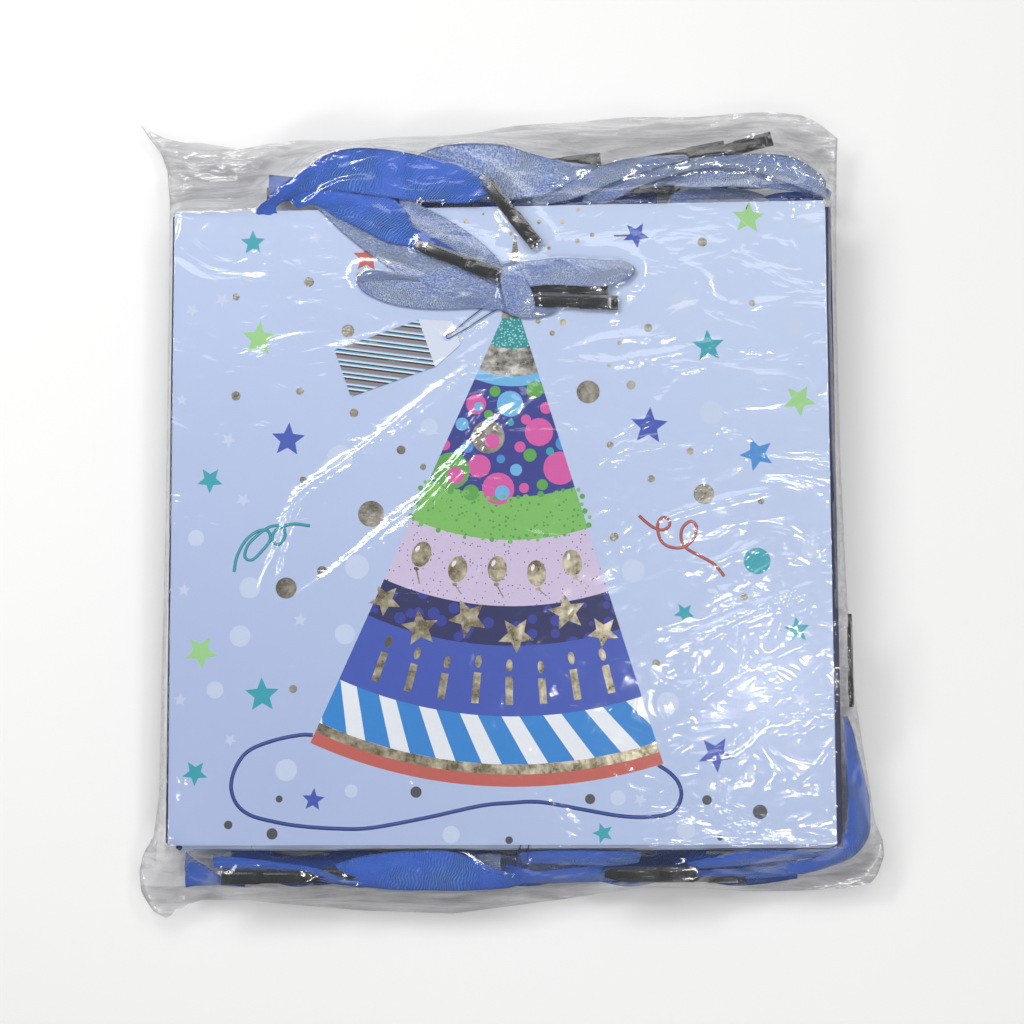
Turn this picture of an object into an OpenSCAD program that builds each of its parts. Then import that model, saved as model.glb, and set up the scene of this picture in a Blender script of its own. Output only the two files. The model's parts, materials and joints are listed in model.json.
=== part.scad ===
// A clear film bag that holds a stack of flat-folded paper gift bags.
// The pack lies on its back: X across the bags, Y up the bags, Z through the stack.

/* [Gift bag] */
// Width of a flat-folded gift bag
bag_w = 260; // [220:1:320]
// Height of a flat-folded gift bag
bag_h = 252; // [220:1:320]
// Depth of the opened bag, which is the height of the folded-up base
gusset_depth = 110; // [60:1:140]
// Thickness of the printed paper
paper_t = 0.25; // [0.15:0.05:0.4]
// Air between two folded layers of paper
fold_gap = 0.05; // [0.03:0.01:0.1]

/* [Boards] */
// Height of the card strips inside the turned-in top edge
hem_h = 38; // [25:1:50]
// Thickness of the hem cards
hem_card_t = 0.4; // [0.3:0.05:0.6]
// Thickness of the loose board on the base
base_board_t = 0.6; // [0.4:0.05:1]
// Clearance between a board and the folds around it
board_gap = 2; // [1:0.5:4]
// Length of the slits that the handle tips push through
slit_l = 7; // [6.5:0.5:10]
// Width of the slits
slit_w = 0.8; // [0.5:0.1:2]
// Distance between the two slits of a panel
slit_span = 100; // [80:1:120]

/* [Handles] */
// Length of a handle tip
tip_l = 36; // [30:1:40]
// Width of a handle tip
tip_w = 5.6; // [4:0.1:6]
// Thickness of a handle tip
tip_t = 1.8; // [1.2:0.1:2]
// Width of a lying ribbon
ribbon_w = 14; // [10:1:16]
// Thickness of the space that a lying ribbon fills
ribbon_t = 1; // [0.6:0.1:1.2]

/* [Tag] */
// Length of the gift tag
tag_l = 48; // [36:1:60]
// Width of the gift tag
tag_w = 20; // [14:1:30]
// Thickness of the gift tag
tag_t = 0.35; // [0.25:0.05:0.5]
// Radius of the hole in the gift tag
tag_hole_r = 2; // [1.8:0.1:2.5]
// Diameter of the tag string
string_d = 0.4; // [0.4:0.05:0.5]

/* [Film bag] */
// Thickness of the film
film_t = 0.3; // [0.2:0.05:0.5]
// Clearance between the film and the stack
film_gap = 0.2; // [0.2:0.05:1]
// Clearance between things that lie on each other in the stack
lay_gap = 0.05; // [0.05:0.01:0.2]
// Room between the bags and the film on the left
film_room_left = 5.5; // [4:0.5:20]
// Room between the bags and the film on the right, where a ribbon lies
film_room_right = 13; // [12:0.5:25]
// Film beyond the top edge of the top bag, at the open mouth
film_skirt = 36.5; // [34:0.5:60]
// Film beyond the bottom edge of the top bag, at the sealed end
film_tail = 21.5; // [21.5:0.5:40]
// Radius of the rounded long edges of the film bag
film_edge_r = 6; // [2:0.5:8]
// Depth of the heat-sealed fin across the sealed end
seal_fin = 5; // [4:0.5:10]
// How far the ears of the fin stand out at each side
seal_ear = 3; // [1:0.5:8]

/* [Hidden] */
$fn = 48;
cut = 1;

// One entry for each bag, from the top of the stack down.
// Each bag lies a little out of line with the next: sideways, and up or down.
shift_x = [0, 2.5, -2.5, 1.5, -1.5, 1];
shift_y = [0, -1.5, 0.5, -2.5, 1, -0.5];
// 1 puts a bag's handles at the mouth of the film bag, -1 at the sealed end.
handles_at = [1, -1, 1, -1, 1, -1];
// Which of the lays below a bag's handles and tag follow.
lay = [0, 1, 2, 3, 3, 3];
count = len(lay);
BAGS = [for (n = [0 : count - 1]) n];

// Heights of the folded layers, above the underside of one bag.
board_z = paper_t + fold_gap;
tuck_z = board_z + base_board_t + fold_gap;
back_z = tuck_z + paper_t + fold_gap;
back_card_z = back_z + paper_t + fold_gap;
back_leaf_z = back_card_z + hem_card_t + fold_gap;
front_leaf_z = back_leaf_z + paper_t + fold_gap;
front_card_z = front_leaf_z + paper_t + fold_gap;
front_z = front_card_z + hem_card_t + fold_gap;
bag_t = front_z + paper_t;

// Heights of what lies on a bag's face.
tag_z = bag_t + lay_gap;
string_z = tag_z + tag_t + lay_gap + string_d / 2;
pitch = string_z + string_d / 2 + 2 * lay_gap;
low_z = pitch;
high_z = low_z + ribbon_t + 4 * lay_gap;

// Heights of the two handles of a bag whose handles lie beyond its edge.
back_lay_z = 2 * lay_gap;
front_lay_z = back_lay_z + tip_t + 4 * lay_gap;

// The film bag is centred on the origin, and the stack is placed from it.
film_in_w = bag_w + max(shift_x) - min(shift_x) + film_room_left + film_room_right;
film_in_h = film_gap + (count - 1) * pitch + high_z + tip_t + 2 * film_gap;
film_w = film_in_w + 2 * film_t;
film_h = film_in_h + 2 * film_t;
film_l = bag_h + film_skirt + film_tail + seal_fin;
film_end_y = -film_l / 2 + seal_fin;
bag_x = -film_in_w / 2 + film_room_left - min(shift_x) + bag_w / 2;
bag_y = film_end_y + film_tail + bag_h / 2;
stack_z = film_t + film_gap;

// How the handles lie. Each band is a list of [x, y] from the middle of the bag's top edge, and
// each tip is [x, y, turn], with true after it where the tip stands on its edge. A row holds, for one lay: the back handle's bands, the front
// handle's bands, the back handle's tips and the front handle's tips.
// The top bag's ribbons lie over its face: an arch above, and a bow below it.
arch = [[[-88, -3], [-80, 8], [-62, 14], [-40, 13], [-12, 11]], [[-80, 4], [-62, -3], [-38, -12]]];
bow = [[[-76, -2], [-56, -16], [-34, -27], [-12, -31], [4, -31]],
       [[-54, -30], [-20, -35], [4, -31]], [[4, -28], [48, -26]]];
arch_tips = [[5, -2.3, -52], [-15.4, -22, -22]];
bow_tips = [[26, -33, -2], [30, -39.2, -3]];
// The second bag's front handle turns up beside the stack, just clear of the panel's edge.
side_x = -bag_w / 2 - ribbon_w / 4 - 0.5;
side_bands = [[[80, 10], [-60, 10], [side_x + 14, 9], [side_x, 2], [side_x, -56]]];
side_tips = [[94, 11, 0], [side_x, -72, 90, true]];
// The third bag's tips stand out past its ribbons.
past_back = [[[54, 14], [40, 10], [100, 10]]];
past_front = [[[14, 13], [-10, 10], [40, 10], [72, 16]]];
past_back_tips = [[76, 21.5, 10], [114, 10, 0]];
past_front_tips = [[26, 18.5, 5], [95, 23, 14]];
// The others lie straight along the edge.
plain_back = [[[-40, 10], [60, 10]]];
plain_front = [[[-60, 10], [50, 10]]];
plain_back_tips = [[-56, 10, 0], [76, 10, 0]];
plain_front_tips = [[-76, 10, 0], [66, 10, 0]];
lays = [[arch, bow, arch_tips, bow_tips],
        [plain_back, side_bands, plain_back_tips, side_tips],
        [past_back, past_front, past_back_tips, past_front_tips],
        [plain_back, plain_front, plain_back_tips, plain_front_tips]];

// The tag turns about its pin: [x, y, turn at rest], from the middle of the bag's top edge.
face_pin = [-20, -52, 19];
edge_pin = [-14, -24, 60];
// The string runs from the handle through the tag's hole and back, as [x, y, rise].
face_string = [[3, -37, 0], [-4, -40, 0], [-11, -45, 0], [-17, -50, 0], [-18.8, -51, 0],
               [-19.8, -51.4, -0.25], [-20.5, -52.2, -0.3], [-19.8, -53, -0.25], [-18.6, -52.7, 0],
               [-12, -49, 0], [-5, -44.5, 0], [2, -40.5, 0], [6, -38, 0]];
edge_string = [[-8, 6, 0], [-9, -3, 0], [-11, -12, 0], [-13, -20, 0], [-14.6, -22.8, 0],
               [-14.8, -24, -0.25], [-14, -24.8, -0.3], [-13.2, -24, -0.25], [-13.2, -22.8, 0],
               [-10.5, -15, 0], [-7.5, -7, 0], [-5, 1, 0], [-4, 6, 0]];
string_sides = 8;

PIECES = ["body", "front_hem_card", "back_hem_card", "base_board", "front_handle",
          "back_handle", "handle_tips", "tag", "tag_string"];
function node_name(n, piece) = str("bag_", n + 1, "_", piece);

// Puts a piece, drawn about the middle of a bag that lies on Z = 0, in its place in the stack.
// A bag with its handles at the sealed end is turned half round.
module in_stack(n) {
    translate([bag_x + shift_x[n], bag_y + shift_y[n], stack_z + (count - 1 - n) * pitch])
        rotate([0, 0, handles_at[n] > 0 ? 0 : 180])
            children();
}

module box_at(x0, x1, y0, y1, z0, thick) {
    translate([x0, y0, z0]) cube([x1 - x0, y1 - y0, thick]);
}

// A plate across the bag, with the two slits for the handle tips.
module slit_plate(half_w, y0, y1, z0, thick) {
    slit_y = bag_h / 2 - hem_h / 3;
    difference() {
        box_at(-half_w, half_w, y0, y1, z0, thick);
        for (side = [-1, 1])
            translate([side * slit_span / 2 - slit_l / 2, slit_y - slit_w / 2, z0 - cut])
                cube([slit_l, slit_w, thick + 2 * cut]);
    }
}

// One gusset, on the left: two leaves that fold in between the panels.
module gusset() {
    x = -bag_w / 2;
    y0 = -bag_h / 2 + gusset_depth / 2;
    y1 = bag_h / 2;
    leaf = gusset_depth / 2 - board_gap;
    box_at(x, x + leaf, y0, y1, front_leaf_z, paper_t);
    box_at(x, x + leaf, y0, y1, back_leaf_z, paper_t);
    box_at(x, x + paper_t, y0, y1, front_leaf_z, bag_t - front_leaf_z);
    box_at(x, x + paper_t, y0, y1, back_z, back_leaf_z + paper_t - back_z);
    box_at(x + leaf - paper_t, x + leaf, y0, y1, back_leaf_z, front_leaf_z + paper_t - back_leaf_z);
}

// The folded sheet: front panel, gussets, back panel, and base folded up behind it.
module body() {
    x = bag_w / 2;
    y = bag_h / 2;
    crease_y = -y + gusset_depth / 2;
    base_y = -y + gusset_depth;
    color("#bccdec") {
        slit_plate(x, -y, y, front_z, paper_t);
        slit_plate(x, crease_y, y, back_z, paper_t);
        box_at(-x, x, -y, base_y, 0, paper_t);
        box_at(-x, x, -y, -y + paper_t, 0, bag_t);
        box_at(-x, x, crease_y, base_y, tuck_z, paper_t);
        box_at(-x, x, base_y - paper_t, base_y, 0, tuck_z + paper_t);
        box_at(-x, x, crease_y, crease_y + paper_t, tuck_z, back_z + paper_t - tuck_z);
        gusset();
        mirror([1, 0, 0]) gusset();
    }
}

module hem_card(z0) {
    color("#d8d2c4")
        slit_plate(bag_w / 2 - board_gap, bag_h / 2 - hem_h, bag_h / 2 - board_gap / 2,
                   z0, hem_card_t);
}

module base_board() {
    color("#d8d2c4")
        box_at(-bag_w / 2 + board_gap, bag_w / 2 - board_gap, -bag_h / 2 + board_gap,
               -bag_h / 2 + gusset_depth - board_gap, board_z, base_board_t);
}

// A flat band along a line of points, round at its bends and ends.
module band(points, wide) {
    for (i = [1 : len(points) - 1])
        hull()
            for (p = [points[i - 1], points[i]])
                translate(p) circle(d = wide, $fn = 32);
}

function on_edge(place) = len(place) > 3;

module tip_outline(place, room) {
    translate([place[0], place[1]]) rotate(place[2])
        square([tip_l, on_edge(place) ? tip_t : tip_w] + 2 * room * [1, 1], center = true);
}

// A lying ribbon, which stops where its tips take over.
module handle(bands, tips, wide, z0) {
    translate([0, bag_h / 2, z0]) linear_extrude(ribbon_t)
        difference() {
            for (points = bands)
                band(points, wide);
            for (place = tips)
                tip_outline(place, lay_gap);
        }
}

module tips(places, z0) {
    translate([0, bag_h / 2, z0])
        for (place = places)
            linear_extrude(on_edge(place) ? tip_w : tip_t) tip_outline(place, 0);
}

function on_face(n) = lay[n] == 0;
function back_handle_z(n) = on_face(n) ? high_z : back_lay_z;
function front_handle_z(n) = on_face(n) ? low_z : front_lay_z;
// A ribbon beside the stack stands on its edge, so it takes half its width.
function front_handle_w(n) = lay[n] == 1 ? ribbon_w / 2 : on_face(n) ? ribbon_w * 0.7 : ribbon_w;

// Each bag has a pale and a royal ribbon. The royal one is in front on the bags turned half round.
pale = "#8fa8dc";
royal = "#3a6fd0";
function front_colour(n) = handles_at[n] > 0 ? pale : royal;
function back_colour(n) = handles_at[n] > 0 ? royal : pale;

module front_handle(n) {
    row = lays[lay[n]];
    color(front_colour(n)) handle(row[1], row[3], front_handle_w(n), front_handle_z(n));
}

module back_handle(n) {
    row = lays[lay[n]];
    color(back_colour(n)) handle(row[0], row[2], ribbon_w, back_handle_z(n));
}

module handle_tips(n) {
    row = lays[lay[n]];
    color("#202228") {
        tips(row[2], back_handle_z(n));
        tips(row[3], front_handle_z(n));
    }
}

// A card with a narrower end, where its hole is. Its hole lies over the origin.
module tag(n) {
    pin = on_face(n) ? face_pin : edge_pin;
    hole_end = 2 * tag_hole_r;
    shoulder = -0.25 * tag_l + hole_end;
    tail = hole_end - tag_l;
    half = tag_w / 2;
    color("#dfe6f5")
        translate([pin[0], bag_h / 2 + pin[1], tag_z]) rotate(pin[2])
            difference() {
                linear_extrude(tag_t)
                    polygon([[hole_end, -half / 2], [hole_end, half / 2], [shoulder, half],
                             [tail, half], [tail, -half], [shoulder, -half]]);
                translate([0, 0, -cut]) cylinder(r = tag_hole_r, h = tag_t + 2 * cut);
            }
}

function unit(v) = v / norm(v);
function along(points, i) =
    unit(points[min(i + 1, len(points) - 1)] - points[max(i - 1, 0)]);
// A ring of the tube about point i, square to the line there.
function ring(points, i, r) =
    let (t = along(points, i), side = unit(cross([0, 0, 1], t)), up = cross(t, side))
    [for (k = [0 : string_sides - 1])
        points[i] + r * (cos(360 * k / string_sides) * side + sin(360 * k / string_sides) * up)];

module tube(points, r) {
    last = len(points) - 1;
    rings = [for (i = [0 : last]) each ring(points, i, r)];
    walls = [for (i = [0 : last - 1]) for (k = [0 : string_sides - 1])
        let (a = i * string_sides + k, b = i * string_sides + (k + 1) % string_sides)
        [a, a + string_sides, b + string_sides, b]];
    start = [for (k = [0 : string_sides - 1]) k];
    end = [for (k = [string_sides - 1 : -1 : 0]) last * string_sides + k];
    polyhedron(rings, concat([start, end], walls), convexity = 6);
}

module tag_string(n) {
    route = on_face(n) ? face_string : edge_string;
    color("#2a3350")
        tube([for (p = route) [p[0], bag_h / 2 + p[1], string_z + p[2]]], string_d / 2);
}

// A rectangle on the XZ plane, round at its corners and standing on the X axis.
module film_section(w, h, r) {
    translate([-w / 2, r]) square([w, h - 2 * r]);
    translate([-w / 2 + r, 0]) square([w - 2 * r, h]);
    for (x = [-w / 2 + r, w / 2 - r])
        for (z = [r, h - r])
            translate([x, z]) circle(r);
}

// Runs an XZ outline along Y, from y0 to y1.
module along_y(y0, y1) {
    translate([0, y1, 0]) rotate([90, 0, 0]) linear_extrude(y1 - y0) children();
}

// The film tube, closed at one end by a wall with a sealed fin across it.
module film_bag() {
    fin_w = film_w + 2 * seal_ear;
    color([0.85, 0.88, 0.9, 0.3]) {
        difference() {
            along_y(film_end_y, film_l / 2) film_section(film_w, film_h, film_edge_r);
            translate([0, 0, film_t]) along_y(film_end_y + film_t, film_l / 2 + cut)
                film_section(film_in_w, film_in_h, film_edge_r - film_t);
        }
        box_at(-fin_w / 2, fin_w / 2, -film_l / 2, film_end_y + film_t / 2,
               film_h / 2 - film_t, 2 * film_t);
        for (side = [-1, 1])
            box_at(min(side * fin_w / 2, side * film_w / 2), max(side * fin_w / 2, side * film_w / 2),
                   -film_l / 2, film_end_y + 2 * seal_fin, film_h / 2 - film_t, 2 * film_t);
    }
}

module bag_piece(n, piece) {
    in_stack(n) {
        if (piece == "body") body();
        if (piece == "front_hem_card") hem_card(front_card_z);
        if (piece == "back_hem_card") hem_card(back_card_z);
        if (piece == "base_board") base_board();
        if (piece == "front_handle") front_handle(n);
        if (piece == "back_handle") back_handle(n);
        if (piece == "handle_tips") handle_tips(n);
        if (piece == "tag") tag(n);
        if (piece == "tag_string") tag_string(n);
    }
}

film_bag();
for (n = BAGS)
    for (piece = PIECES)
        bag_piece(n, piece);
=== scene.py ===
# %% [markdown]
# # A film-wrapped pack of gift bags
# The object is a clear film bag that holds six paper gift bags, folded flat. Each has two satin
# ribbon handles with moulded tips, and a small tag on a thread. The hard parts come in from the
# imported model. Here they get their paper, board and card finishes, and the soft things are made
# as what they are: ribbon as strips of cloth, film as one thin creased sheet.

# %% Load the model and note its size
import json
import math
import bpy
import bmesh
import numpy as np
from mathutils import Matrix, Vector, noise
from mathutils.bvhtree import BVHTree

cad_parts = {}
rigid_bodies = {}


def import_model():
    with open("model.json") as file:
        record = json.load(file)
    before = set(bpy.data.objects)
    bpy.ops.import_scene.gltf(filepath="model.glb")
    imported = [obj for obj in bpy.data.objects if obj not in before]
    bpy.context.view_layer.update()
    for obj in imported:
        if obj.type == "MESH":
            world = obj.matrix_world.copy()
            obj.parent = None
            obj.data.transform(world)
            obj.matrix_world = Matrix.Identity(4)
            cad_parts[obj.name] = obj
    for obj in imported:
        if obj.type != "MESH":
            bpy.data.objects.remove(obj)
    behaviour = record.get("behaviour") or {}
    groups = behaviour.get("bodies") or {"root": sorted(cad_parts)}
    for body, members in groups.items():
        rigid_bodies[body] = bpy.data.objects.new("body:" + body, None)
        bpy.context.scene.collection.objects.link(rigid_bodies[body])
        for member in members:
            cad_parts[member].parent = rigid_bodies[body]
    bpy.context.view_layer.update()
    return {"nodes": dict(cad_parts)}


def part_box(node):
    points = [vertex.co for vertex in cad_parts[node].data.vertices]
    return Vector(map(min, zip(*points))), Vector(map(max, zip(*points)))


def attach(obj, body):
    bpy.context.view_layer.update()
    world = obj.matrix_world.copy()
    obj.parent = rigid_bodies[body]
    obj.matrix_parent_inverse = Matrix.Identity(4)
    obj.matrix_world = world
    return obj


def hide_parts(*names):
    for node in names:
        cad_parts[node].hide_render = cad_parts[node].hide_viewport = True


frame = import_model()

MM = 0.001

# %% [markdown]
# The bags lie on each other, and every second one is turned half round. One matrix for each bag
# takes a point from the middle of the bag's front panel to its place in the stack, so what is
# printed or tied on a bag can be made once, about its own middle, and then put in place.

# %% Places of the bags
BAGS = [1, 2, 3, 4, 5, 6]
BAG_HEIGHT = 252


def bag_body(number):
    return f"bag_{number}"


def is_turned(number):
    return number % 2 == 0


def bag_place(number, side="top"):
    low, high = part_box(f"bag_{number}_body")
    level = high[2] if side == "top" else low[2]
    middle = Matrix.Translation(((low[0] + high[0]) / 2, (low[1] + high[1]) / 2, level))
    return middle @ Matrix.Rotation(math.pi if is_turned(number) else 0, 4, "Z")


for number in BAGS:
    print("bag", number, [round(v, 4) for v in bag_place(number).translation])

# %% [markdown]
# ## Camera
# The pack is seen from almost straight above, with a long lens, so its edges stay nearly
# parallel. The eye stands a little towards the sealed end and to the right.

# %% Camera
EYE = (0.0578, -0.0942, 0.9162)
EYE_TURN = (5.914, 3.625, -0.257)
LENS = 80.31

bpy.ops.object.camera_add(location=EYE, rotation=[math.radians(a) for a in EYE_TURN])
camera = bpy.context.object
camera.name = "eye"
camera.data.lens = LENS
camera.data.sensor_width = 36
camera.data.clip_start = 0.01
bpy.context.scene.camera = camera
print("camera at", EYE)

# %% [markdown]
# ## Helpers for meshes
# A loft is a grid of points, row by row. Both the ribbons and the threads are lofts, because
# cloth and thread follow a path that no primitive has. Each loft keeps a UV map in metres, so
# that a weave has the same scale on every piece.

# %% Helpers for meshes
def deselect():
    for thing in bpy.context.view_layer.objects:
        thing.select_set(False)


def select_only(thing):
    deselect()
    thing.select_set(True)
    bpy.context.view_layer.objects.active = thing


def apply_modifier(thing, kind, **settings):
    select_only(thing)
    modifier = thing.modifiers.new(kind.title(), kind)
    for key, value in settings.items():
        setattr(modifier, key, value)
    bpy.ops.object.modifier_apply(modifier=modifier.name)


def smooth_shade(thing, angle=180):
    select_only(thing)
    bpy.ops.object.shade_smooth_by_angle(angle=math.radians(angle))


def piece_from(name, points, faces, uvs=None):
    mesh = bpy.data.meshes.new(name)
    mesh.from_pydata([tuple(p) for p in points], [], faces)
    if uvs is not None:
        layer = mesh.uv_layers.new(name="flat")
        for loop in mesh.loops:
            layer.data[loop.index].uv = uvs[loop.vertex_index]
    piece = bpy.data.objects.new(name, mesh)
    bpy.context.scene.collection.objects.link(piece)
    return piece


def join(pieces, name):
    deselect()
    for piece in pieces:
        piece.select_set(True)
    bpy.context.view_layer.objects.active = pieces[0]
    if len(pieces) > 1:
        bpy.ops.object.join()
    pieces[0].name = name
    pieces[0].data.name = name
    return pieces[0]


def copy_of(thing, place):
    """A copy of a finished object with a mesh of its own, moved by a matrix."""
    copy = thing.copy()
    copy.data = thing.data.copy()
    copy.data.transform(place)
    bpy.context.scene.collection.objects.link(copy)
    return copy


def curve_through(points, step):
    """Points about step apart on a smooth line through points, each of any length."""
    points = np.array(points, float)
    padded = np.vstack([2 * points[0] - points[1], points, 2 * points[-1] - points[-2]])
    line = [points[0]]
    for i in range(1, len(padded) - 2):
        before, start, end, after = padded[i - 1:i + 3]
        parts = max(1, int(np.linalg.norm((end - start)[:3]) / step))
        for k in range(1, parts + 1):
            t = k / parts
            line.append(0.5 * (2 * start + (end - before) * t
                               + (2 * before - 5 * start + 4 * end - after) * t ** 2
                               + (3 * start - before - 3 * end + after) * t ** 3))
    return np.array(line)


def length_of(points):
    return float(np.linalg.norm(np.diff(np.array(points), axis=0), axis=1).sum())


# %% [markdown]
# ## Helpers for materials
# Every finish is built from nodes. A short function adds a node and joins its inputs, so that a
# material reads as a recipe. Numbers that are the same all over go straight on the shader.

# %% Helpers for materials
def colour(code):
    """A linear colour from a hex code such as 8fa8dc."""
    parts = [int(code[i:i + 2], 16) / 255 for i in (0, 2, 4)]
    return tuple(((p + 0.055) / 1.055) ** 2.4 if p > 0.04045 else p / 12.92 for p in parts) + (1,)


def put(tree, socket, value):
    """Links a socket to value if that is a socket too, or else sets it to the plain value."""
    if isinstance(value, bpy.types.NodeSocket):
        tree.links.new(value, socket)
    else:
        socket.default_value = value


def add_node(tree, kind, inputs=None, **settings):
    made = tree.nodes.new(kind)
    for key, value in settings.items():
        setattr(made, key, value)
    for key, value in (inputs or {}).items():
        put(tree, made.inputs[key], value)
    return made


def calculate(tree, operation, *values):
    made = add_node(tree, "ShaderNodeMath", operation=operation)
    for socket, value in zip(made.inputs, values):
        put(tree, socket, value)
    return made.outputs[0]


def blend_colours(tree, share, first, second, kind="MIX"):
    made = add_node(tree, "ShaderNodeMix", data_type="RGBA", blend_type=kind)
    # a Mix node keeps its factor and its two colours at these places
    for at, value in ((0, share), (6, first), (7, second)):
        put(tree, made.inputs[at], value)
    return made.outputs[2]


def bump(tree, height, distance, strength=1.0):
    return add_node(tree, "ShaderNodeBump", {"Height": height, "Distance": distance,
                                             "Strength": strength}).outputs["Normal"]


def material(name, **plain):
    """A new material, its node tree and its Principled shader, with plain values set on it."""
    made = bpy.data.materials.new(name)
    made.use_nodes = True
    shader = made.node_tree.nodes["Principled BSDF"]
    for key, value in plain.items():
        shader.inputs[key.replace("_", " ")].default_value = value
    return made, made.node_tree, shader


def feed(tree, shader, **sockets):
    for key, value in sockets.items():
        tree.links.new(value, shader.inputs[key.replace("_", " ")])


def new_group(name, inputs, outputs):
    """An empty node group. inputs and outputs are lists of (name, kind, value or None)."""
    group = bpy.data.node_groups.new(name, "ShaderNodeTree")
    for side, sockets in (("INPUT", inputs), ("OUTPUT", outputs)):
        for label, kind, value in sockets:
            socket = group.interface.new_socket(label, in_out=side,
                                                socket_type=f"NodeSocket{kind}")
            if value is not None:
                socket.default_value = value
    given = add_node(group, "NodeGroupInput").outputs
    return group, given, add_node(group, "NodeGroupOutput").inputs


def use_group(tree, group, inputs):
    return add_node(tree, "ShaderNodeGroup", inputs, node_tree=group).outputs


def object_place(tree):
    return add_node(tree, "ShaderNodeTexCoord").outputs["Object"]


def flat_place(tree):
    return add_node(tree, "ShaderNodeUVMap", uv_map="flat").outputs["UV"]


def place_about(tree, origin, turn):
    """Object coordinates about another origin, turned to suit it."""
    return add_node(tree, "ShaderNodeMapping", {"Vector": object_place(tree), "Location": origin,
                                                "Rotation": (0, 0, turn)},
                    vector_type="TEXTURE").outputs[0]


def axes_of(tree, place):
    return add_node(tree, "ShaderNodeSeparateXYZ", {"Vector": place}).outputs


def stretch(tree, value, low, high):
    """Value, stretched so that low becomes 0 and high becomes 1."""
    return add_node(tree, "ShaderNodeMapRange", {"Value": value, "From Min": low,
                                                 "From Max": high}).outputs[0]


# %% [markdown]
# Four effects are used by more than one finish: the fine mottle of printed paper and board, the
# pressed pits of metal foil, the ribs of satin, and stripes. Each is a node group.

# %% Node group: mottle
mottle, given, out = new_group(
    "mottle", [("Vector", "Vector", None), ("Colour", "Color", (0.8, 0.8, 0.8, 1)),
               ("Scale", "Float", 900.0), ("Amount", "Float", 0.06)],
    [("Colour", "Color", None), ("Height", "Float", None)])
fine = add_node(mottle, "ShaderNodeTexNoise", {"Vector": given["Vector"], "Scale": given["Scale"],
                                               "Detail": 3.0, "Roughness": 0.6})
broad = add_node(mottle, "ShaderNodeTexNoise", {"Vector": given["Vector"], "Scale": 22.0,
                                                "Detail": 2.0})
both = calculate(mottle, "ADD", fine.outputs["Fac"], broad.outputs["Fac"])
swing = calculate(mottle, "MULTIPLY", calculate(mottle, "SUBTRACT", both, 1.0), given["Amount"])
lift = calculate(mottle, "ADD", swing, 1.0)
shade = add_node(mottle, "ShaderNodeCombineColor", {"Red": lift, "Green": lift, "Blue": lift})
mottle.links.new(blend_colours(mottle, 1.0, given["Colour"], shade.outputs[0], "MULTIPLY"),
                 out["Colour"])
mottle.links.new(fine.outputs["Fac"], out["Height"])
print("node group", mottle.name)

# %% Node group: pressed foil
foil_pits, given, out = new_group(
    "foil pits", [("Vector", "Vector", None), ("Light", "Color", colour("efe6cf")),
                  ("Dark", "Color", colour("7d6f55")), ("Scale", "Float", 700.0)],
    [("Colour", "Color", None), ("Height", "Float", None), ("Roughness", "Float", None)])
cells = add_node(foil_pits, "ShaderNodeTexVoronoi", {"Vector": given["Vector"],
                                                     "Scale": given["Scale"]})
cloud = add_node(foil_pits, "ShaderNodeTexNoise", {"Vector": given["Vector"], "Scale": 160.0,
                                                   "Detail": 4.0, "Roughness": 0.65})
worn_away = stretch(foil_pits, cloud.outputs["Fac"], 0.38, 0.62)
foil_pits.links.new(blend_colours(foil_pits, worn_away, given["Dark"], given["Light"]),
                    out["Colour"])
foil_pits.links.new(calculate(foil_pits, "ADD", cells.outputs["Distance"],
                              cloud.outputs["Fac"]), out["Height"])
foil_pits.links.new(calculate(foil_pits, "MULTIPLY_ADD", cloud.outputs["Fac"], 0.3, 0.15),
                    out["Roughness"])
print("node group", foil_pits.name)

# %% Node group: satin ribs
satin_ribs, given, out = new_group(
    "satin ribs", [("Vector", "Vector", None), ("Rib", "Float", 0.0011), ("Slant", "Float", 0.6),
                   ("Crepe", "Float", 0.0), ("Colour", "Color", (0.1, 0.2, 0.7, 1)),
                   ("Painted sheen", "Color", (0.3, 0.5, 0.9, 1))],
    [("Colour", "Color", None), ("Height", "Float", None)])
cloth = axes_of(satin_ribs, given["Vector"])
warp = add_node(satin_ribs, "ShaderNodeTexNoise", {"Vector": given["Vector"], "Scale": 70.0,
                                                   "Detail": 2.0}).outputs["Fac"]
slanted = calculate(satin_ribs, "ADD", cloth["Y"],
                    calculate(satin_ribs, "MULTIPLY", cloth["X"], given["Slant"]))
bent = calculate(satin_ribs, "MULTIPLY_ADD", warp, 0.009, slanted)
turns = calculate(satin_ribs, "MULTIPLY",
                  calculate(satin_ribs, "DIVIDE", bent, given["Rib"]), math.tau)
ribs = calculate(satin_ribs, "MULTIPLY_ADD", calculate(satin_ribs, "SINE", turns), 0.5, 0.5)
grain = add_node(satin_ribs, "ShaderNodeTexVoronoi", {"Vector": given["Vector"],
                                                      "Scale": 1500.0}).outputs["Distance"]
crepe = calculate(satin_ribs, "MULTIPLY", grain, given["Crepe"])
rib_share = add_node(satin_ribs, "ShaderNodeTexNoise", {"Vector": given["Vector"], "Scale": 38.0,
                                                        "Detail": 1.0}).outputs["Fac"]
strong = stretch(satin_ribs, rib_share, 0.4, 0.62)
ribs = calculate(satin_ribs, "MULTIPLY", ribs, strong)
height = calculate(satin_ribs, "ADD", ribs, crepe)
# painted sheen: the crests of the ribs take the lighter colour, as the satin's highlight
painted_sheen_mask = stretch(satin_ribs, calculate(satin_ribs, "MULTIPLY", height, 0.7), 0.25, 1.0)
satin_ribs.links.new(blend_colours(satin_ribs, painted_sheen_mask, given["Colour"], given["Painted sheen"]),
                     out["Colour"])
satin_ribs.links.new(height, out["Height"])
print("node group", satin_ribs.name)

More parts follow.
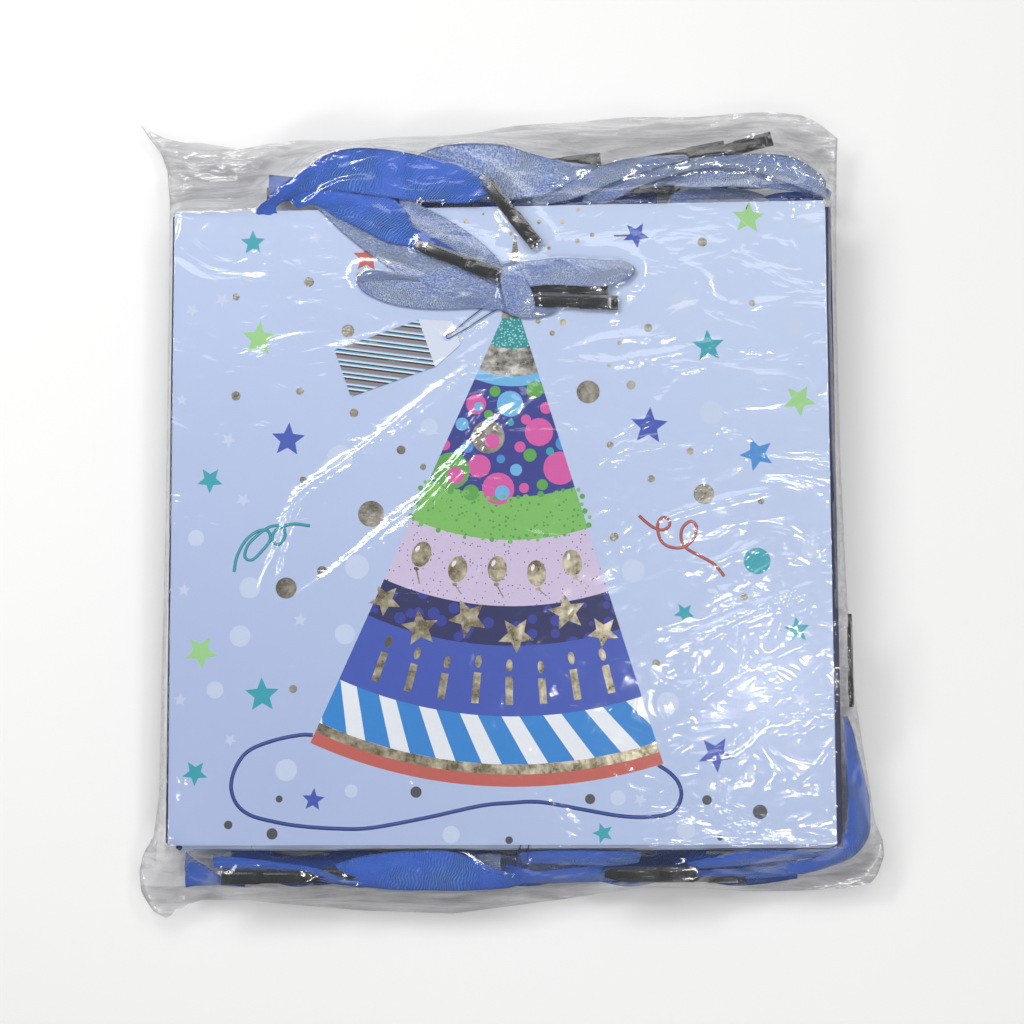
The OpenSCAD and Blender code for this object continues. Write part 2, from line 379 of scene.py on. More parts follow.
# %% Node group: stripes
stripes, given, out = new_group(
    "stripes", [("Vector", "Vector", None), ("Turn", "Float", 0.0), ("Period", "Float", 0.01)],
    [("Phase", "Float", None)])
turned = add_node(stripes, "ShaderNodeVectorRotate",
                  {"Vector": given["Vector"], "Angle": given["Turn"]}, rotation_type="Z_AXIS")
along = axes_of(stripes, turned.outputs[0])["X"]
stripes.links.new(calculate(stripes, "FRACT",
                            calculate(stripes, "DIVIDE", along, given["Period"])), out["Phase"])
print("node group", stripes.name)

# %% [markdown]
# ## Paper, board and card
# The folded bodies, the boards and the tags come from the imported model with the right shape, so
# they keep their meshes and get finishes. The printed sheet is coated art paper: pale periwinkle
# on the panels, made lighter towards one corner as painted light, and navy on the gussets. The
# navy runs a little way round the fold on most bags, partly as the gussets' own print and partly
# as painted shade that widens the dark band along the stack's sides.

# %% Printed paper
# the second panel colour is painted light: the panel's colour where the light falls strongest
PERIWINKLE, PAINTED_LIGHT_CORNER, NAVY = colour("b2c3ea"), colour("c9daf9"), colour("17225c")
# how far the navy runs onto each panel, in mm: partly gusset print, partly painted shade along the
# stack's sides
NAVY_AND_SHADE_WRAP = {1: 0.0, 2: 2.4, 3: 2.6, 4: 1.2, 5: 1.6, 6: 1.2}
# how far from the middle the side fold and the worn top and bottom edges begin, in metres
SIDE_FOLD, WORN_EDGE = 0.1299, 0.12592


def printed_paper(number):
    made, tree, shader = material(f"printed paper {number}", Roughness=0.42, Coat_Weight=0.25,
                                  Coat_Roughness=0.16, Specular_IOR_Level=0.45)
    place = bag_place(number)
    local = place_about(tree, place.translation, math.pi if is_turned(number) else 0)
    axes = axes_of(tree, local)
    # painted light: the panel grows paler towards the corner where the light is strongest
    rise = calculate(tree, "ADD", calculate(tree, "MULTIPLY", axes["X"], 2.2),
                     calculate(tree, "MULTIPLY", axes["Y"], 2.6))
    panel = blend_colours(tree, stretch(tree, rise, -0.45, 0.6), PERIWINKLE, PAINTED_LIGHT_CORNER)
    across = calculate(tree, "ABSOLUTE", axes["X"])
    # past this the sheet is navy: the gusset's print, and on the lower bags also a strip of
    # painted shade
    at_side = calculate(tree, "GREATER_THAN", across, SIDE_FOLD - NAVY_AND_SHADE_WRAP[number] * MM)
    sheet = blend_colours(tree, at_side, panel, NAVY)
    grained = use_group(tree, mottle, {"Vector": local, "Colour": sheet, "Scale": 1400.0,
                                       "Amount": 0.05})
    edge = calculate(tree, "GREATER_THAN", calculate(tree, "ABSOLUTE", axes["Y"]), WORN_EDGE)
    worn = blend_colours(tree, calculate(tree, "MULTIPLY", edge, 0.55), grained["Colour"],
                         colour("f2f4fa"))
    feed(tree, shader, Base_Color=worn, Normal=bump(tree, grained["Height"], 0.00003, 0.35))
    return made


def board(name, code, scale):
    made, tree, shader = material(name, Roughness=0.85)
    grained = use_group(tree, mottle, {"Vector": object_place(tree), "Colour": colour(code),
                                       "Scale": scale, "Amount": 0.28})
    feed(tree, shader, Base_Color=grained["Colour"],
         Normal=bump(tree, grained["Height"], 0.00012, 0.6))
    return made


def give(piece, *materials):
    piece.data.materials.clear()
    for one in materials:
        piece.data.materials.append(one)


grey_board = board("grey board", "c9c3b6", 700.0)
for number in BAGS:
    nodes = frame["nodes"]
    give(nodes[f"bag_{number}_body"], printed_paper(number))
    for card in ("front_hem_card", "back_hem_card", "base_board"):
        give(nodes[f"bag_{number}_{card}"], grey_board)
print("paper and board on", len(BAGS), "bags")

# %% [markdown]
# A tag is a card with a pale pointed end, where its hole is, and a striped body. The stripes are
# printed slantwise to the card: taupe, black, blue and white. A colour ramp with hard steps
# turns the phase of the stripes into those colours.

# %% Tags
TAG_PINS = {1: (-20, -52, 19)}
EDGE_PIN = (-14, -24, 60)
TAG_SHOULDER = -0.0085
STRIPE_COLOURS = [(0.0, "8b8289"), (0.29, "10131c"), (0.43, "f4f7fb"), (0.55, "5aa9d6"),
                  (0.68, "10131c"), (0.79, "e9eef6"), (0.90, "8fbfe2")]


def tag_pin(number):
    x, y, turn = TAG_PINS.get(number, EDGE_PIN)
    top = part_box(f"bag_{number}_tag")[1][2]
    spot = bag_place(number) @ Vector((x * MM, (y + BAG_HEIGHT / 2) * MM, 0))
    return Vector((spot.x, spot.y, top)), math.radians(turn + (180 if is_turned(number) else 0))


def tag_card(number):
    made, tree, shader = material(f"tag card {number}", Roughness=0.35, Coat_Weight=0.4,
                                  Coat_Roughness=0.12)
    pin, turn = tag_pin(number)
    local = place_about(tree, pin, turn)
    phase = use_group(tree, stripes, {"Vector": local, "Turn": math.radians(-63),
                                      "Period": 0.0047})
    ramp = add_node(tree, "ShaderNodeValToRGB", {"Fac": phase["Phase"]})
    ramp.color_ramp.interpolation = "CONSTANT"
    steps = ramp.color_ramp.elements
    for k, (stop, code) in enumerate(STRIPE_COLOURS):
        step = steps[k] if k < 2 else steps.new(stop)
        step.position, step.color = stop, colour(code)
    body = calculate(tree, "LESS_THAN", axes_of(tree, local)["X"], TAG_SHOULDER)
    card = blend_colours(tree, body, colour("dbe4f6"), ramp.outputs["Color"])
    grained = use_group(tree, mottle, {"Vector": local, "Colour": card, "Scale": 1200.0,
                                       "Amount": 0.07})
    feed(tree, shader, Base_Color=grained["Colour"],
         Normal=bump(tree, grained["Height"], 0.00003, 0.4))
    return made


for number in BAGS:
    give(frame["nodes"][f"bag_{number}_tag"], tag_card(number))
print("tags at", [round(v, 4) for v in tag_pin(1)[0]])

# %% [markdown]
# ## Tag threads
# A thin two-ply thread runs from each handle through the hole of its tag and back. It is a limp
# cord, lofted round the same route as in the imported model.

# %% Threads
FACE_THREAD = [(3, -37, 0), (-4, -40, 0), (-11, -45, 0), (-17, -50, 0), (-18.8, -51, 0),
               (-19.8, -51.4, -0.25), (-20.5, -52.2, -0.3), (-19.8, -53, -0.25), (-18.6, -52.7, 0),
               (-12, -49, 0), (-5, -44.5, 0), (2, -40.5, 0), (6, -38, 0)]
EDGE_THREAD = [(-8, 6, 0), (-9, -3, 0), (-11, -12, 0), (-13, -20, 0), (-14.6, -22.8, 0),
               (-14.8, -24, -0.25), (-14, -24.8, -0.3), (-13.2, -24, -0.25), (-13.2, -22.8, 0),
               (-10.5, -15, 0), (-7.5, -7, 0), (-5, 1, 0), (-4, 6, 0)]
THREAD_RISE, THREAD_WIDTH, THREAD_SIDES = 3.95, 0.4, 8


def thread_material():
    made, tree, shader = material("thread", Roughness=0.7)
    axes = axes_of(tree, flat_place(tree))
    spiral = calculate(tree, "ADD", calculate(tree, "MULTIPLY", axes["Y"], 5200.0),
                       calculate(tree, "MULTIPLY", axes["X"], 5000.0))
    # the twist is real, and the lighter blue on each ply's crest is a painted highlight
    ply = calculate(tree, "MULTIPLY_ADD", calculate(tree, "SINE", spiral), 0.5, 0.5)
    feed(tree, shader, Base_Color=blend_colours(tree, ply, colour("1d2a55"), colour("4a5f9a")),
         Normal=bump(tree, ply, 0.00005))
    return made


def tube(name, line, radius, sides):
    points, uvs, faces, run = [], [], [], 0.0
    for i, centre in enumerate(line):
        ahead = Vector(line[min(i + 1, len(line) - 1)]) - Vector(line[max(i - 1, 0)])
        side = Vector((0, 0, 1)).cross(ahead).normalized()
        up = ahead.normalized().cross(side)
        run += (Vector(centre) - Vector(line[max(i - 1, 0)])).length
        for k in range(sides):
            angle = math.tau * k / sides
            outwards = math.cos(angle) * side + math.sin(angle) * up
            points.append(Vector(centre) + radius * outwards)
            uvs.append((k / sides * math.tau * radius, run))
    for i in range(len(line) - 1):
        for k in range(sides):
            a, b = i * sides + k, i * sides + (k + 1) % sides
            faces.append((a, b, b + sides, a + sides))
    faces += [tuple(range(sides))[::-1], tuple(range(len(points) - sides, len(points)))]
    return piece_from(name, points, faces, uvs)


thread = thread_material()
for number in BAGS:
    route = FACE_THREAD if number == 1 else EDGE_THREAD
    base = bag_place(number, "bottom")
    line = [base @ Vector((x * MM, (y + BAG_HEIGHT / 2) * MM, (THREAD_RISE + rise) * MM))
            for x, y, rise in curve_through(route, 1.6)]
    piece = tube(f"bag_{number}_thread", line, THREAD_WIDTH * MM / 2, THREAD_SIDES)
    give(piece, thread)
    smooth_shade(piece)
    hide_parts(f"bag_{number}_tag_string")
    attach(piece, bag_body(number))
    print(piece.name, "is", round(length_of(line) / MM, 1), "mm long")

# %% [markdown]
# ## Print
# The picture on each front panel is ink and foil. Ink has almost no thickness, but edges that are
# cut from geometry stay sharp at any distance, so each shape is a flat face, given a skin far
# thinner than the paper. All shapes of one bag are drawn in one piece, in edit mode, and the
# piece is copied for each bag. Three levels, and thin steps between shapes that overlap on one
# level, keep the faces apart. All of it stays below the tag, so that the tag can swing over it.

# %% Inks
LEVELS = (0.020, 0.028, 0.036)
SKIN, LINE_HALF_HEIGHT = 0.006, 0.008
INK_CODES = {"teal": "2aa5b6", "coral": "c65f56", "green": "9fd88c", "royal": "3a55b8",
             "sky": "3f8fd6", "ghost": "cbd8f4", "dark": "4a4d55", "light blue": "6cb6e8",
             "navy": "29348f", "midnight": "191f5e", "lime": "8ccf62", "leaf green": "5aa84a",
             "lilac": "e6d3ef", "pink": "d957a8", "stripe blue": "2686d6", "white": "eef3fb",
             "elastic": "2c46a0"}


def ink(name, code, spot=None, scale=0.0, size=0.0):
    """Ink of one colour, or with small round spots, as on the fancy bands."""
    made, tree, shader = material(f"ink {name}", Roughness=0.38, Coat_Weight=0.3,
                                  Coat_Roughness=0.15)
    place, shade = object_place(tree), colour(code)
    if spot:
        cell = add_node(tree, "ShaderNodeTexVoronoi", {"Vector": place, "Scale": scale,
                                                       "Randomness": 0.8}).outputs["Distance"]
        on = calculate(tree, "LESS_THAN", cell, size)
        shade = blend_colours(tree, on, shade, colour(spot))
    grained = use_group(tree, mottle, {"Vector": place, "Colour": shade, "Scale": 1100.0,
                                       "Amount": 0.10})
    feed(tree, shader, Base_Color=grained["Colour"],
         Normal=bump(tree, grained["Height"], 0.00002, 0.4))
    return made


def foil(name, light, dark, scale):
    made, tree, shader = material(f"foil {name}", Metallic=0.9)
    pressed = use_group(tree, foil_pits, {"Vector": object_place(tree), "Light": colour(light),
                                          "Dark": colour(dark), "Scale": scale})
    feed(tree, shader, Base_Color=pressed["Colour"], Roughness=pressed["Roughness"],
         Normal=bump(tree, pressed["Height"], 0.00012, 0.6))
    return made


inks = {name: ink(name, code) for name, code in INK_CODES.items()}
inks["teal scales"] = ink("teal scales", "1f8f96", "8fd9d6", 900.0, 0.34)
inks["gold"] = foil("gold", "e9dfc4", "94886a", 500.0)
inks["mottled foil"] = foil("mottled", "e6e3dc", "77736b", 420.0)
inks["taupe foil"] = foil("taupe", "c3beb2", "8d887d", 900.0)
inks["dotted lime"] = ink("dotted lime", "7cc160", "4f9f52", 520.0, 0.26)
inks["dotted lilac"] = ink("dotted lilac", "d4c5e4", "3c3442", 640.0, 0.17)
inks["starry navy"] = ink("starry navy", "191f5e", "2d3a9c", 170.0, 0.40)
INKS = list(inks)
print(len(INKS), "inks and foils")

# %% [markdown]
# Drawing works as by hand. A circle primitive with a face is added in edit mode, where the new
# one is the only thing selected, and it is given its ink. A star is a circle of ten points with
# every second point pulled in. A drop or a candle is a circle squeezed to shape.

# %% Drawing shapes
SHEET_NAME = "print"
RISE = 0.001
stack = {"shapes": 0, "first": 0.0, "steps": 1}


def level_of(level):
    """The height of the next shape, in metres. Shapes that overlap take turns on thin steps."""
    stack["shapes"] += 1
    return (LEVELS[level] + stack["first"] + stack["shapes"] % stack["steps"] * RISE) * MM


def begin_drawing(name):
    deselect()
    bpy.ops.mesh.primitive_circle_add(vertices=3, radius=MM, fill_type="NGON")
    sheet = bpy.context.object
    sheet.name = name
    give(sheet, *inks.values())
    bpy.ops.object.mode_set(mode="EDIT")
    bpy.ops.mesh.select_mode(type="VERT")
    bpy.ops.mesh.delete(type="VERT")
    return sheet


def use_ink(name):
    bpy.context.object.active_material_index = INKS.index(name)
    bpy.ops.object.material_slot_assign()


def disc(x, y, radius, name, level=0, sides=18):
    bpy.ops.mesh.primitive_circle_add(vertices=sides, radius=radius * MM, fill_type="NGON",
                                      location=(x * MM, y * MM, level_of(level)))
    use_ink(name)


def star(x, y, radius, turn, name, level=0, waist=0.45):
    at = (x * MM, y * MM, level_of(level))
    bpy.ops.mesh.primitive_circle_add(vertices=10, radius=radius * MM, fill_type="NGON",
                                      location=at, rotation=(0, 0, math.radians(turn)))
    use_ink(name)
    shape = bmesh.from_edit_mesh(bpy.context.object.data)
    for point in shape.verts:
        if point.select:
            angle = math.degrees(math.atan2(point.co.y - at[1], point.co.x - at[0]))
            point.select = round((angle - turn - 90) / 36) % 2 == 1
    shape.select_flush_mode()
    bmesh.update_edit_mesh(bpy.context.object.data)
    bpy.ops.transform.resize(value=(waist, waist, waist), center_override=at)


def oval(x, y, wide, high, turn, name, level=0, sides=14):
    at = (x * MM, y * MM, level_of(level))
    bpy.ops.mesh.primitive_circle_add(vertices=sides, radius=wide * MM / 2, fill_type="NGON",
                                      location=at)
    use_ink(name)
    bpy.ops.transform.resize(value=(1, high / wide, 1), center_override=at)
    bpy.ops.transform.rotate(value=-math.radians(turn), orient_axis="Z", center_override=at)


def patch(corners, name, level=0):
    """A four-cornered face, from corners given in turn."""
    high = level_of(level)
    bpy.ops.mesh.primitive_plane_add(size=MM, location=(0, 0, high))
    use_ink(name)
    shape = bmesh.from_edit_mesh(bpy.context.object.data)
    face = next(f for f in shape.faces if f.select)
    for point, (x, y) in zip(face.verts, corners):
        point.co = (x * MM, y * MM, high)
    bmesh.update_edit_mesh(bpy.context.object.data)


def end_drawing(sheet):
    """Turns every face up, and gives the drawing its skin."""
    shape = bmesh.from_edit_mesh(sheet.data)
    for face in shape.faces:
        face.normal_update()
        face.select = face.normal.z < 0
    bmesh.update_edit_mesh(sheet.data)
    bpy.ops.mesh.flip_normals()
    bpy.ops.object.mode_set(mode="OBJECT")
    apply_modifier(sheet, "SOLIDIFY", thickness=SKIN * MM, offset=-1)
    return sheet


# %% [markdown]
# The party hat is a fan of bands about its tip. One ring of edges is drawn round the tip and
# extruded outwards band by band, and two cuts along the hat's sides take away all but the fan.
# Dots that lie on a band are drawn before the cuts, so the sides trim them too.

# %% The hat
HAT_TIP = (6.3, 90.5)
HAT_SIDES = (-24.4, 17.2)
HAT_BANDS = [(9.5, None), (22, "teal scales"), (33, "mottled foil"), (37, "light blue"),
             (81, "navy"), (98, "dotted lime"), (124, "dotted lilac"), (139.5, "starry navy"),
             (167, "royal"), (185.6, "white"), (189.5, "gold"), (194.2, "coral")]
BAND_DOTS = [(-8.5, 46.6, 4.0, "pink"), (-3.8, 33.4, 6.6, "taupe foil"), (16.3, 35.1, 5.6, "pink"),
             (-18.5, 20.1, 7.4, "leaf green"), (0.1, 12.8, 6.4, "pink"), (24.5, 20.7, 6.6, "pink"),
             (-7.4, 21.9, 4.6, "pink"), (-14.1, 38.7, 2.6, "light blue"),
             (7.2, 20.2, 2.4, "light blue"), (-10.6, 11.4, 3.2, "leaf green"),
             (12.7, 26.0, 2.6, "leaf green"), (19.2, 44.7, 2.4, "pink"),
             (4.9, 46.5, 5.2, "light blue"), (10.3, 13.0, 2.0, "pink"),
             (14.8, 52.1, 3.4, "leaf green"), (8.8, 29.3, 2.2, "pink"),
             (-1, 51.6, 2.2, "leaf green"), (-12, 29.6, 2.4, "sky"), (-21, 30.5, 2.2, "pink"),
             (17.5, 14.2, 2.2, "leaf green"), (25.6, 30.5, 2.8, "sky"), (1.2, 24.6, 1.7, "sky"),
             (11.2, 40.2, 2.0, "pink"), (-3.6, 42.4, 1.8, "leaf green"), (20.6, 27.4, 1.6, "teal"),
             (-15.4, 27.6, 1.5, "teal"), (5.2, 39.0, 1.3, "teal")]


def on_hat(radius, angle):
    """A place on the hat: radius from its tip, and angle from straight down, to the right."""
    a = math.radians(angle)
    return HAT_TIP[0] + radius * math.sin(a), HAT_TIP[1] - radius * math.cos(a)


def trim_sides():
    tip = (HAT_TIP[0] * MM, HAT_TIP[1] * MM, 0)
    for angle, sign in zip(HAT_SIDES, (1, -1)):
        a = math.radians(angle)
        bpy.ops.mesh.select_all(action="SELECT")
        bpy.ops.mesh.bisect(plane_co=tip, plane_no=(-sign * math.cos(a), -sign * math.sin(a), 0),
                            clear_outer=True)
    bpy.ops.mesh.select_all(action="SELECT")
    bpy.ops.mesh.bisect(plane_co=tip, plane_no=(0, 1, 0), clear_outer=True)


hat = begin_drawing("hat")
stack.update(shapes=0, steps=6)
tip = (HAT_TIP[0] * MM, HAT_TIP[1] * MM, LEVELS[0] * MM)
bpy.ops.mesh.primitive_circle_add(vertices=240, radius=HAT_BANDS[0][0] * MM, fill_type="NOTHING",
                                  location=tip)
for (inner, _), (outer, _) in zip(HAT_BANDS, HAT_BANDS[1:]):
    bpy.ops.mesh.extrude_edges_move()
    grow = outer / inner
    bpy.ops.transform.resize(value=(grow, grow, 1), center_override=tip)
bpy.ops.mesh.select_mode(type="FACE")
for (inner, _), (outer, name) in zip(HAT_BANDS, HAT_BANDS[1:]):
    shape = bmesh.from_edit_mesh(hat.data)
    for face in shape.faces:
        middle = face.calc_center_median()
        reach = math.hypot(middle.x / MM - HAT_TIP[0], middle.y / MM - HAT_TIP[1])
        face.select = inner < reach < outer
    bmesh.update_edit_mesh(hat.data)
    use_ink(name)
bpy.ops.mesh.select_mode(type="VERT")
for x, y, radius, name in BAND_DOTS:
    disc(x, y, radius, name, level=1)
for x, y, radius, name in BAND_DOTS[:2] + BAND_DOTS[3:5]:
    disc(x + radius / 4, y - radius / 4, radius / 2.2,
         "light blue" if name == "pink" else "pink", level=2)
STRIPES_FROM, STRIPES_TO = 167, 185.6
for k in range(9):
    angle = -33 + k * 5.6
    patch([on_hat(STRIPES_FROM, angle), on_hat(STRIPES_FROM, angle + 3.2),
           on_hat(STRIPES_TO, angle + 6.6), on_hat(STRIPES_TO, angle + 3.4)],
          "stripe blue", level=1)
trim_sides()
print("hat of", len(HAT_BANDS) - 1, "bands")

# %% [markdown]
# Foil shapes go on the hat after its sides are trimmed: stars on the dark band, balloons on the
# lilac band and candles on the blue one. Small leaves fringe the green band.

# %% Foil on the hat
stack.update(steps=1)
GOLD_STARS = [(-44.6, -30.6, 6.6, 10), (-30.8, -41.8, 7.6, -12), (-11.9, -38.0, 8.0, 6),
              (6.9, -44.8, 7.4, 20), (26.9, -36.0, 7.6, -8), (40.9, -43.9, 6.4, 14)]
for x, y, radius, turn in GOLD_STARS:
    star(x, y, radius, 90 + turn, "gold", level=1)
for k, angle in enumerate((-19.5, -11.5, -3.5, 4.5, 12)):
    x, y = on_hat(109.5 + (k % 2) * 2, angle)
    oval(x, y, 7.6, 10.4, angle, "gold", level=1, sides=16)
    a, b = on_hat(115.6 + (k % 2) * 2, angle), on_hat(120.8, angle + 1.5)
    patch([(a[0] - 0.3, a[1]), (a[0] + 0.3, a[1]), (b[0] + 0.3, b[1]), (b[0] - 0.3, b[1])],
          "gold", level=1)
    oval(a[0], a[1], 2.2, 1.5, angle, "gold", level=2, sides=8)
    oval(x - 1.5, y + 2.2, 1.4, 2.8, angle - 20, "white", level=2, sides=8)
for k in range(8):
    angle = -19.8 + k * 4.75
    foot, head = on_hat(162.5, angle), on_hat(150.5 + (k % 3), angle)
    lean = Vector((foot[0] - head[0], foot[1] - head[1])).normalized().orthogonal() * 1.45
    patch([(foot[0] - lean.x, foot[1] - lean.y), (head[0] - lean.x, head[1] - lean.y),
           (head[0] + lean.x, head[1] + lean.y), (foot[0] + lean.x, foot[1] + lean.y)],
          "gold", level=1)
    flame = on_hat(146.2 + (k % 3), angle)
    oval(flame[0], flame[1], 2.6, 5.0, angle, "gold", level=1, sides=12)
stack.update(first=0.0085, steps=4)
for radius, sizes in ((81.6, (0.8, 1.3)), (97.8, (0.7, 1.0))):
    for k in range(int(41 / 2.1)):
        x, y = on_hat(radius + 0.9 * math.sin(k * 2.4), -24.0 + k * 2.1)
        disc(x, y, sizes[k % 2], "dotted lime" if k % 3 else "leaf green", level=1, sides=9)
stack.update(first=0.0125)
for side, lean in ((HAT_SIDES[0], -1), (HAT_SIDES[1], 1)):
    for k in range(6):
        x, y = on_hat(82.5 + 2.9 * k, side + lean * (0.7 + 0.5 * math.sin(k * 2)))
        disc(x, y, 0.8 + 0.3 * (k % 2), "leaf green" if k % 2 else "dotted lime", level=1, sides=9)
patch([(1.6, 80.9), (12.6, 80.9), (7.5, 114.4), (7.0, 114.4)], "taupe foil", level=1)
hat = end_drawing(hat)
print("hat", len(hat.data.polygons), "faces")

# %% [markdown]
# The rest of the panel is scattered: coloured stars, foil dots, pale discs and small ghost
# stars. The lists give each shape's place in millimetres from the middle of the panel.

# %% Scattered shapes
STARS = {
    "teal": [(-98, 113.1, 5.2), (-114.5, 17.6, 5.4), (-93.1, -67.6, 7.0), (-119.4, -97.9, 5.2),
             (83.2, 68.4, 6.6), (72.5, -36.7, 4.2), (116.1, -43.7, 5.2)],
    "coral": [(-52, 106.1, 6.0)],
    "green": [(-95.3, 74.1, 7.2), (-117.5, -50.5, 6.8), (99.6, 119.5, 6.6), (118.4, 46.4, 6.6)],
    "royal": [(-83.4, 33.3, 7.0), (55.3, 113.5, 5.4), (59.6, 36.9, 7.6), (84.1, -91.4, 7.2),
              (-72.7, -108.5, 4.6)],
    "sky": [(101.7, 25.3, 7.0)],
    "ghost": [(-73, 114.7, 3.0), (-110.3, 90.1, 3.2), (-126.1, 49.9, 2.6), (-107.4, 33.6, 3.2),
              (-124.5, -26, 2.8), (-122.4, 86.2, 3.0), (-78.2, -38.2, 3.0), (-101.2, 9.5, 3.0),
              (98.5, 124.2, 1.6), (115.8, 98.3, 3.2), (103.3, 54.6, 2.8), (118.2, 10.9, 2.8),
              (95.9, -47.4, 2.6), (116.8, -70.7, 3.2), (78.5, -47.3, 2.6), (54.6, -108.9, 2.8),
              (97.1, -99.5, 3.0), (-105.6, -85.1, 2.6), (-125.6, -69.3, 2.8)]}
DISCS = {
    "taupe foil": [(-75.3, 96.8, 2.0), (-104.7, 91.2, 1.5), (-59.6, 76.7, 2.6),
                   (-104.4, 51.2, 1.9), (-78.7, 52.8, 1.6), (-57.1, 43.7, 1.8),
                   (-38.3, 28.7, 1.8), (-29.6, 21.8, 1.3),
                   (-77.3, 17.2, 1.4), (-69.6, -19, 2.0), (-80.8, -65.3, 1.6), (81.4, 110.1, 1.9),
                   (59.7, 76, 1.7), (75.6, 26.8, 1.4), (60.2, 16, 1.5), (45.5, -6.7, 1.8),
                   (95.8, -30.7, 1.5), (103, 6.8, 1.3), (61.4, -56.1, 1.5), (52.7, 53.3, 1.8),
                   (44.3, 29.6, 1.4), (100.7, 85.3, 1.3), (-50.2, 3.4, 5.2), (-83.8, -25.6, 4.2),
                   (35.8, 50.8, 4.6), (80.8, 9.8, 4.0)],
    "gold": [(16.8, 119.5, 0.9), (26, 119.3, 0.9), (32.4, 124, 0.8), (37.9, 113.8, 0.9),
             (31.9, 111.5, 1.0), (20.7, 108.8, 0.8), (-12.3, 120, 1.0), (-5.5, 123.1, 0.5),
             (5.6, 114.8, 0.8), (16.2, 79.4, 1.0), (21.8, 74.5, 1.1), (26.1, 78.8, 1.3),
             (48.4, 70.2, 0.9), (44.2, 61.5, 0.8)],
    "dark": [(-106.1, -118.1, 1.7), (-88.8, -121.6, 2.2), (-86.1, -108.1, 1.4),
             (-32.4, -105.6, 2.2), (3.8, -124.2, 1.5), (35.3, -108.5, 2.0), (80.4, -109, 1.9),
             (100.7, -113.6, 2.8),
             (85.2, -123.5, 1.1)],
    "ghost": [(-119.9, -5.4, 3.2), (-98.2, -25.4, 4.2), (-62.6, 25.8, 5.2), (-55.7, -17.5, 4.8),
              (-60.4, -43.9, 4.0), (-102, -44.4, 4.2), (-111.8, -65.5, 3.4), (-27.2, 37.7, 3.4),
              (-83.4, -96.9, 4.3), (-57.8, -105.1, 2.6), (-18.7, -122, 3.4), (84, 41.8, 4.6),
              (52.8, -20.1, 4.6), (121.6, -12.6, 3.4), (122.4, 117.8, 3.2), (73.2, 86.2, 4.4),
              (117.7, 75.4, 3.6), (65.8, -71.6, 4.3), (115.9, -96.5, 3.2), (72.2, -120.5, 3.6),
              (46.1, -108.1, 3.0)],
    "teal": [(101.1, -16.7, 5.2)]}

scatter = begin_drawing("scatter")
stack.update(first=0.0, steps=1)
for name, places in STARS.items():
    for k, (x, y, radius) in enumerate(places):
        star(x, y, radius, 90 + 23 * math.sin(3.1 * k + len(name)), name)
for name, places in DISCS.items():
    for x, y, radius in places:
        disc(x, y, radius, name, sides=24 if radius > 2 else 12)
star(40.2, -121.6, 4.2, 90, "teal")
scatter = end_drawing(scatter)
print("scatter", len(scatter.data.polygons), "faces")

# %% [markdown]
# The hat's elastic and the paper curls are lines of ink. A curve with a round bevel is turned
# into a mesh and pressed flat, which keeps its width even round the bends.

# %% Lines of ink
LINES = [
    ("elastic", 0.75, [(-72.9, -83.3), (-78, -83.3), (-87.8, -85.2), (-97.7, -89), (-102.8, -94.8),
                       (-105.1, -102.6), (-103.1, -109.6), (-97.5, -114.3), (-87.6, -117),
                       (-77.8, -118.6), (-64.1, -119.6), (-50.4, -119.4), (-28.9, -115.6),
                       (-7.4, -111), (4.2, -109.9), (15.9, -109.6), (31.4, -112.3), (46.8, -115),
                       (58.4, -115.4), (66.9, -113.6), (70.4, -108.2), (69.7, -102.8),
                       (66.3, -98.6), (61.7, -95.5)]),
    ("teal", 0.6, [(-104.6, -19.1), (-103.4, -12.7), (-99.9, -6.4), (-95.1, -2.9), (-91.2, -2.9),
                    (-90.3, -6.5), (-93.5, -10.8), (-97.5, -14.4), (-100.3, -13.2), (-99.1, -8.4),
                    (-94.3, -3.7), (-89.6, -1), (-85.2, -1.4), (-84.4, -5.4), (-87.1, -8.5),
                    (-89.5, -6.5), (-88, -2.6), (-81.6, -0.3), (-74.4, -1.1)]),
    ("coral", 0.6, [(55.3, 1.6), (57.6, -0.6), (61, -3.2), (64.4, -4.2), (67.2, -2.6), (66.8, 0.2),
                     (64.2, 0.6), (62.6, -1.8), (62.8, -5.6), (64.6, -9.4), (68.6, -11.2),
                     (73, -10.8), (76.6, -7.6), (77.8, -3), (75.6, -0.8), (72.4, -3.2),
                     (71.6, -7.4), (73.4, -11.2), (78, -14), (83.6, -17.2), (86.4, -20),
                     (88.2, -22.6)])]


def ink_line(name, half_width, points):
    deselect()
    bpy.ops.curve.primitive_nurbs_path_add()
    line = bpy.context.object
    line.data.splines.clear()
    spline = line.data.splines.new("POLY")
    places = curve_through(points, 1.2)
    spline.points.add(len(places) - 1)
    for point, (x, y) in zip(spline.points, places):
        point.co = (x * MM, y * MM, 0, 1)
    line.data.bevel_depth = half_width * MM
    line.data.bevel_resolution = 0
    line.data.use_fill_caps = True
    select_only(line)
    bpy.ops.object.convert(target="MESH")
    line.scale.z = LINE_HALF_HEIGHT * MM / (half_width * MM)
    line.location.z = (LEVELS[0] - LINE_HALF_HEIGHT) * MM
    bpy.ops.object.transform_apply(location=True, rotation=True, scale=True)
    give(line, *inks.values())
    for face in line.data.polygons:
        face.material_index = INKS.index(name)
    return line


lines = [ink_line(name, width, points) for name, width, points in LINES]
picture = join([hat, scatter] + lines, SHEET_NAME)
print("picture", len(picture.data.polygons), "faces")

# %% Print each bag
for number in BAGS:
    copy = copy_of(picture, bag_place(number))
    copy.name = copy.data.name = f"bag_{number}_print"
    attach(copy, bag_body(number))
bpy.data.objects.remove(picture)
print("printed", len(BAGS), "bags")

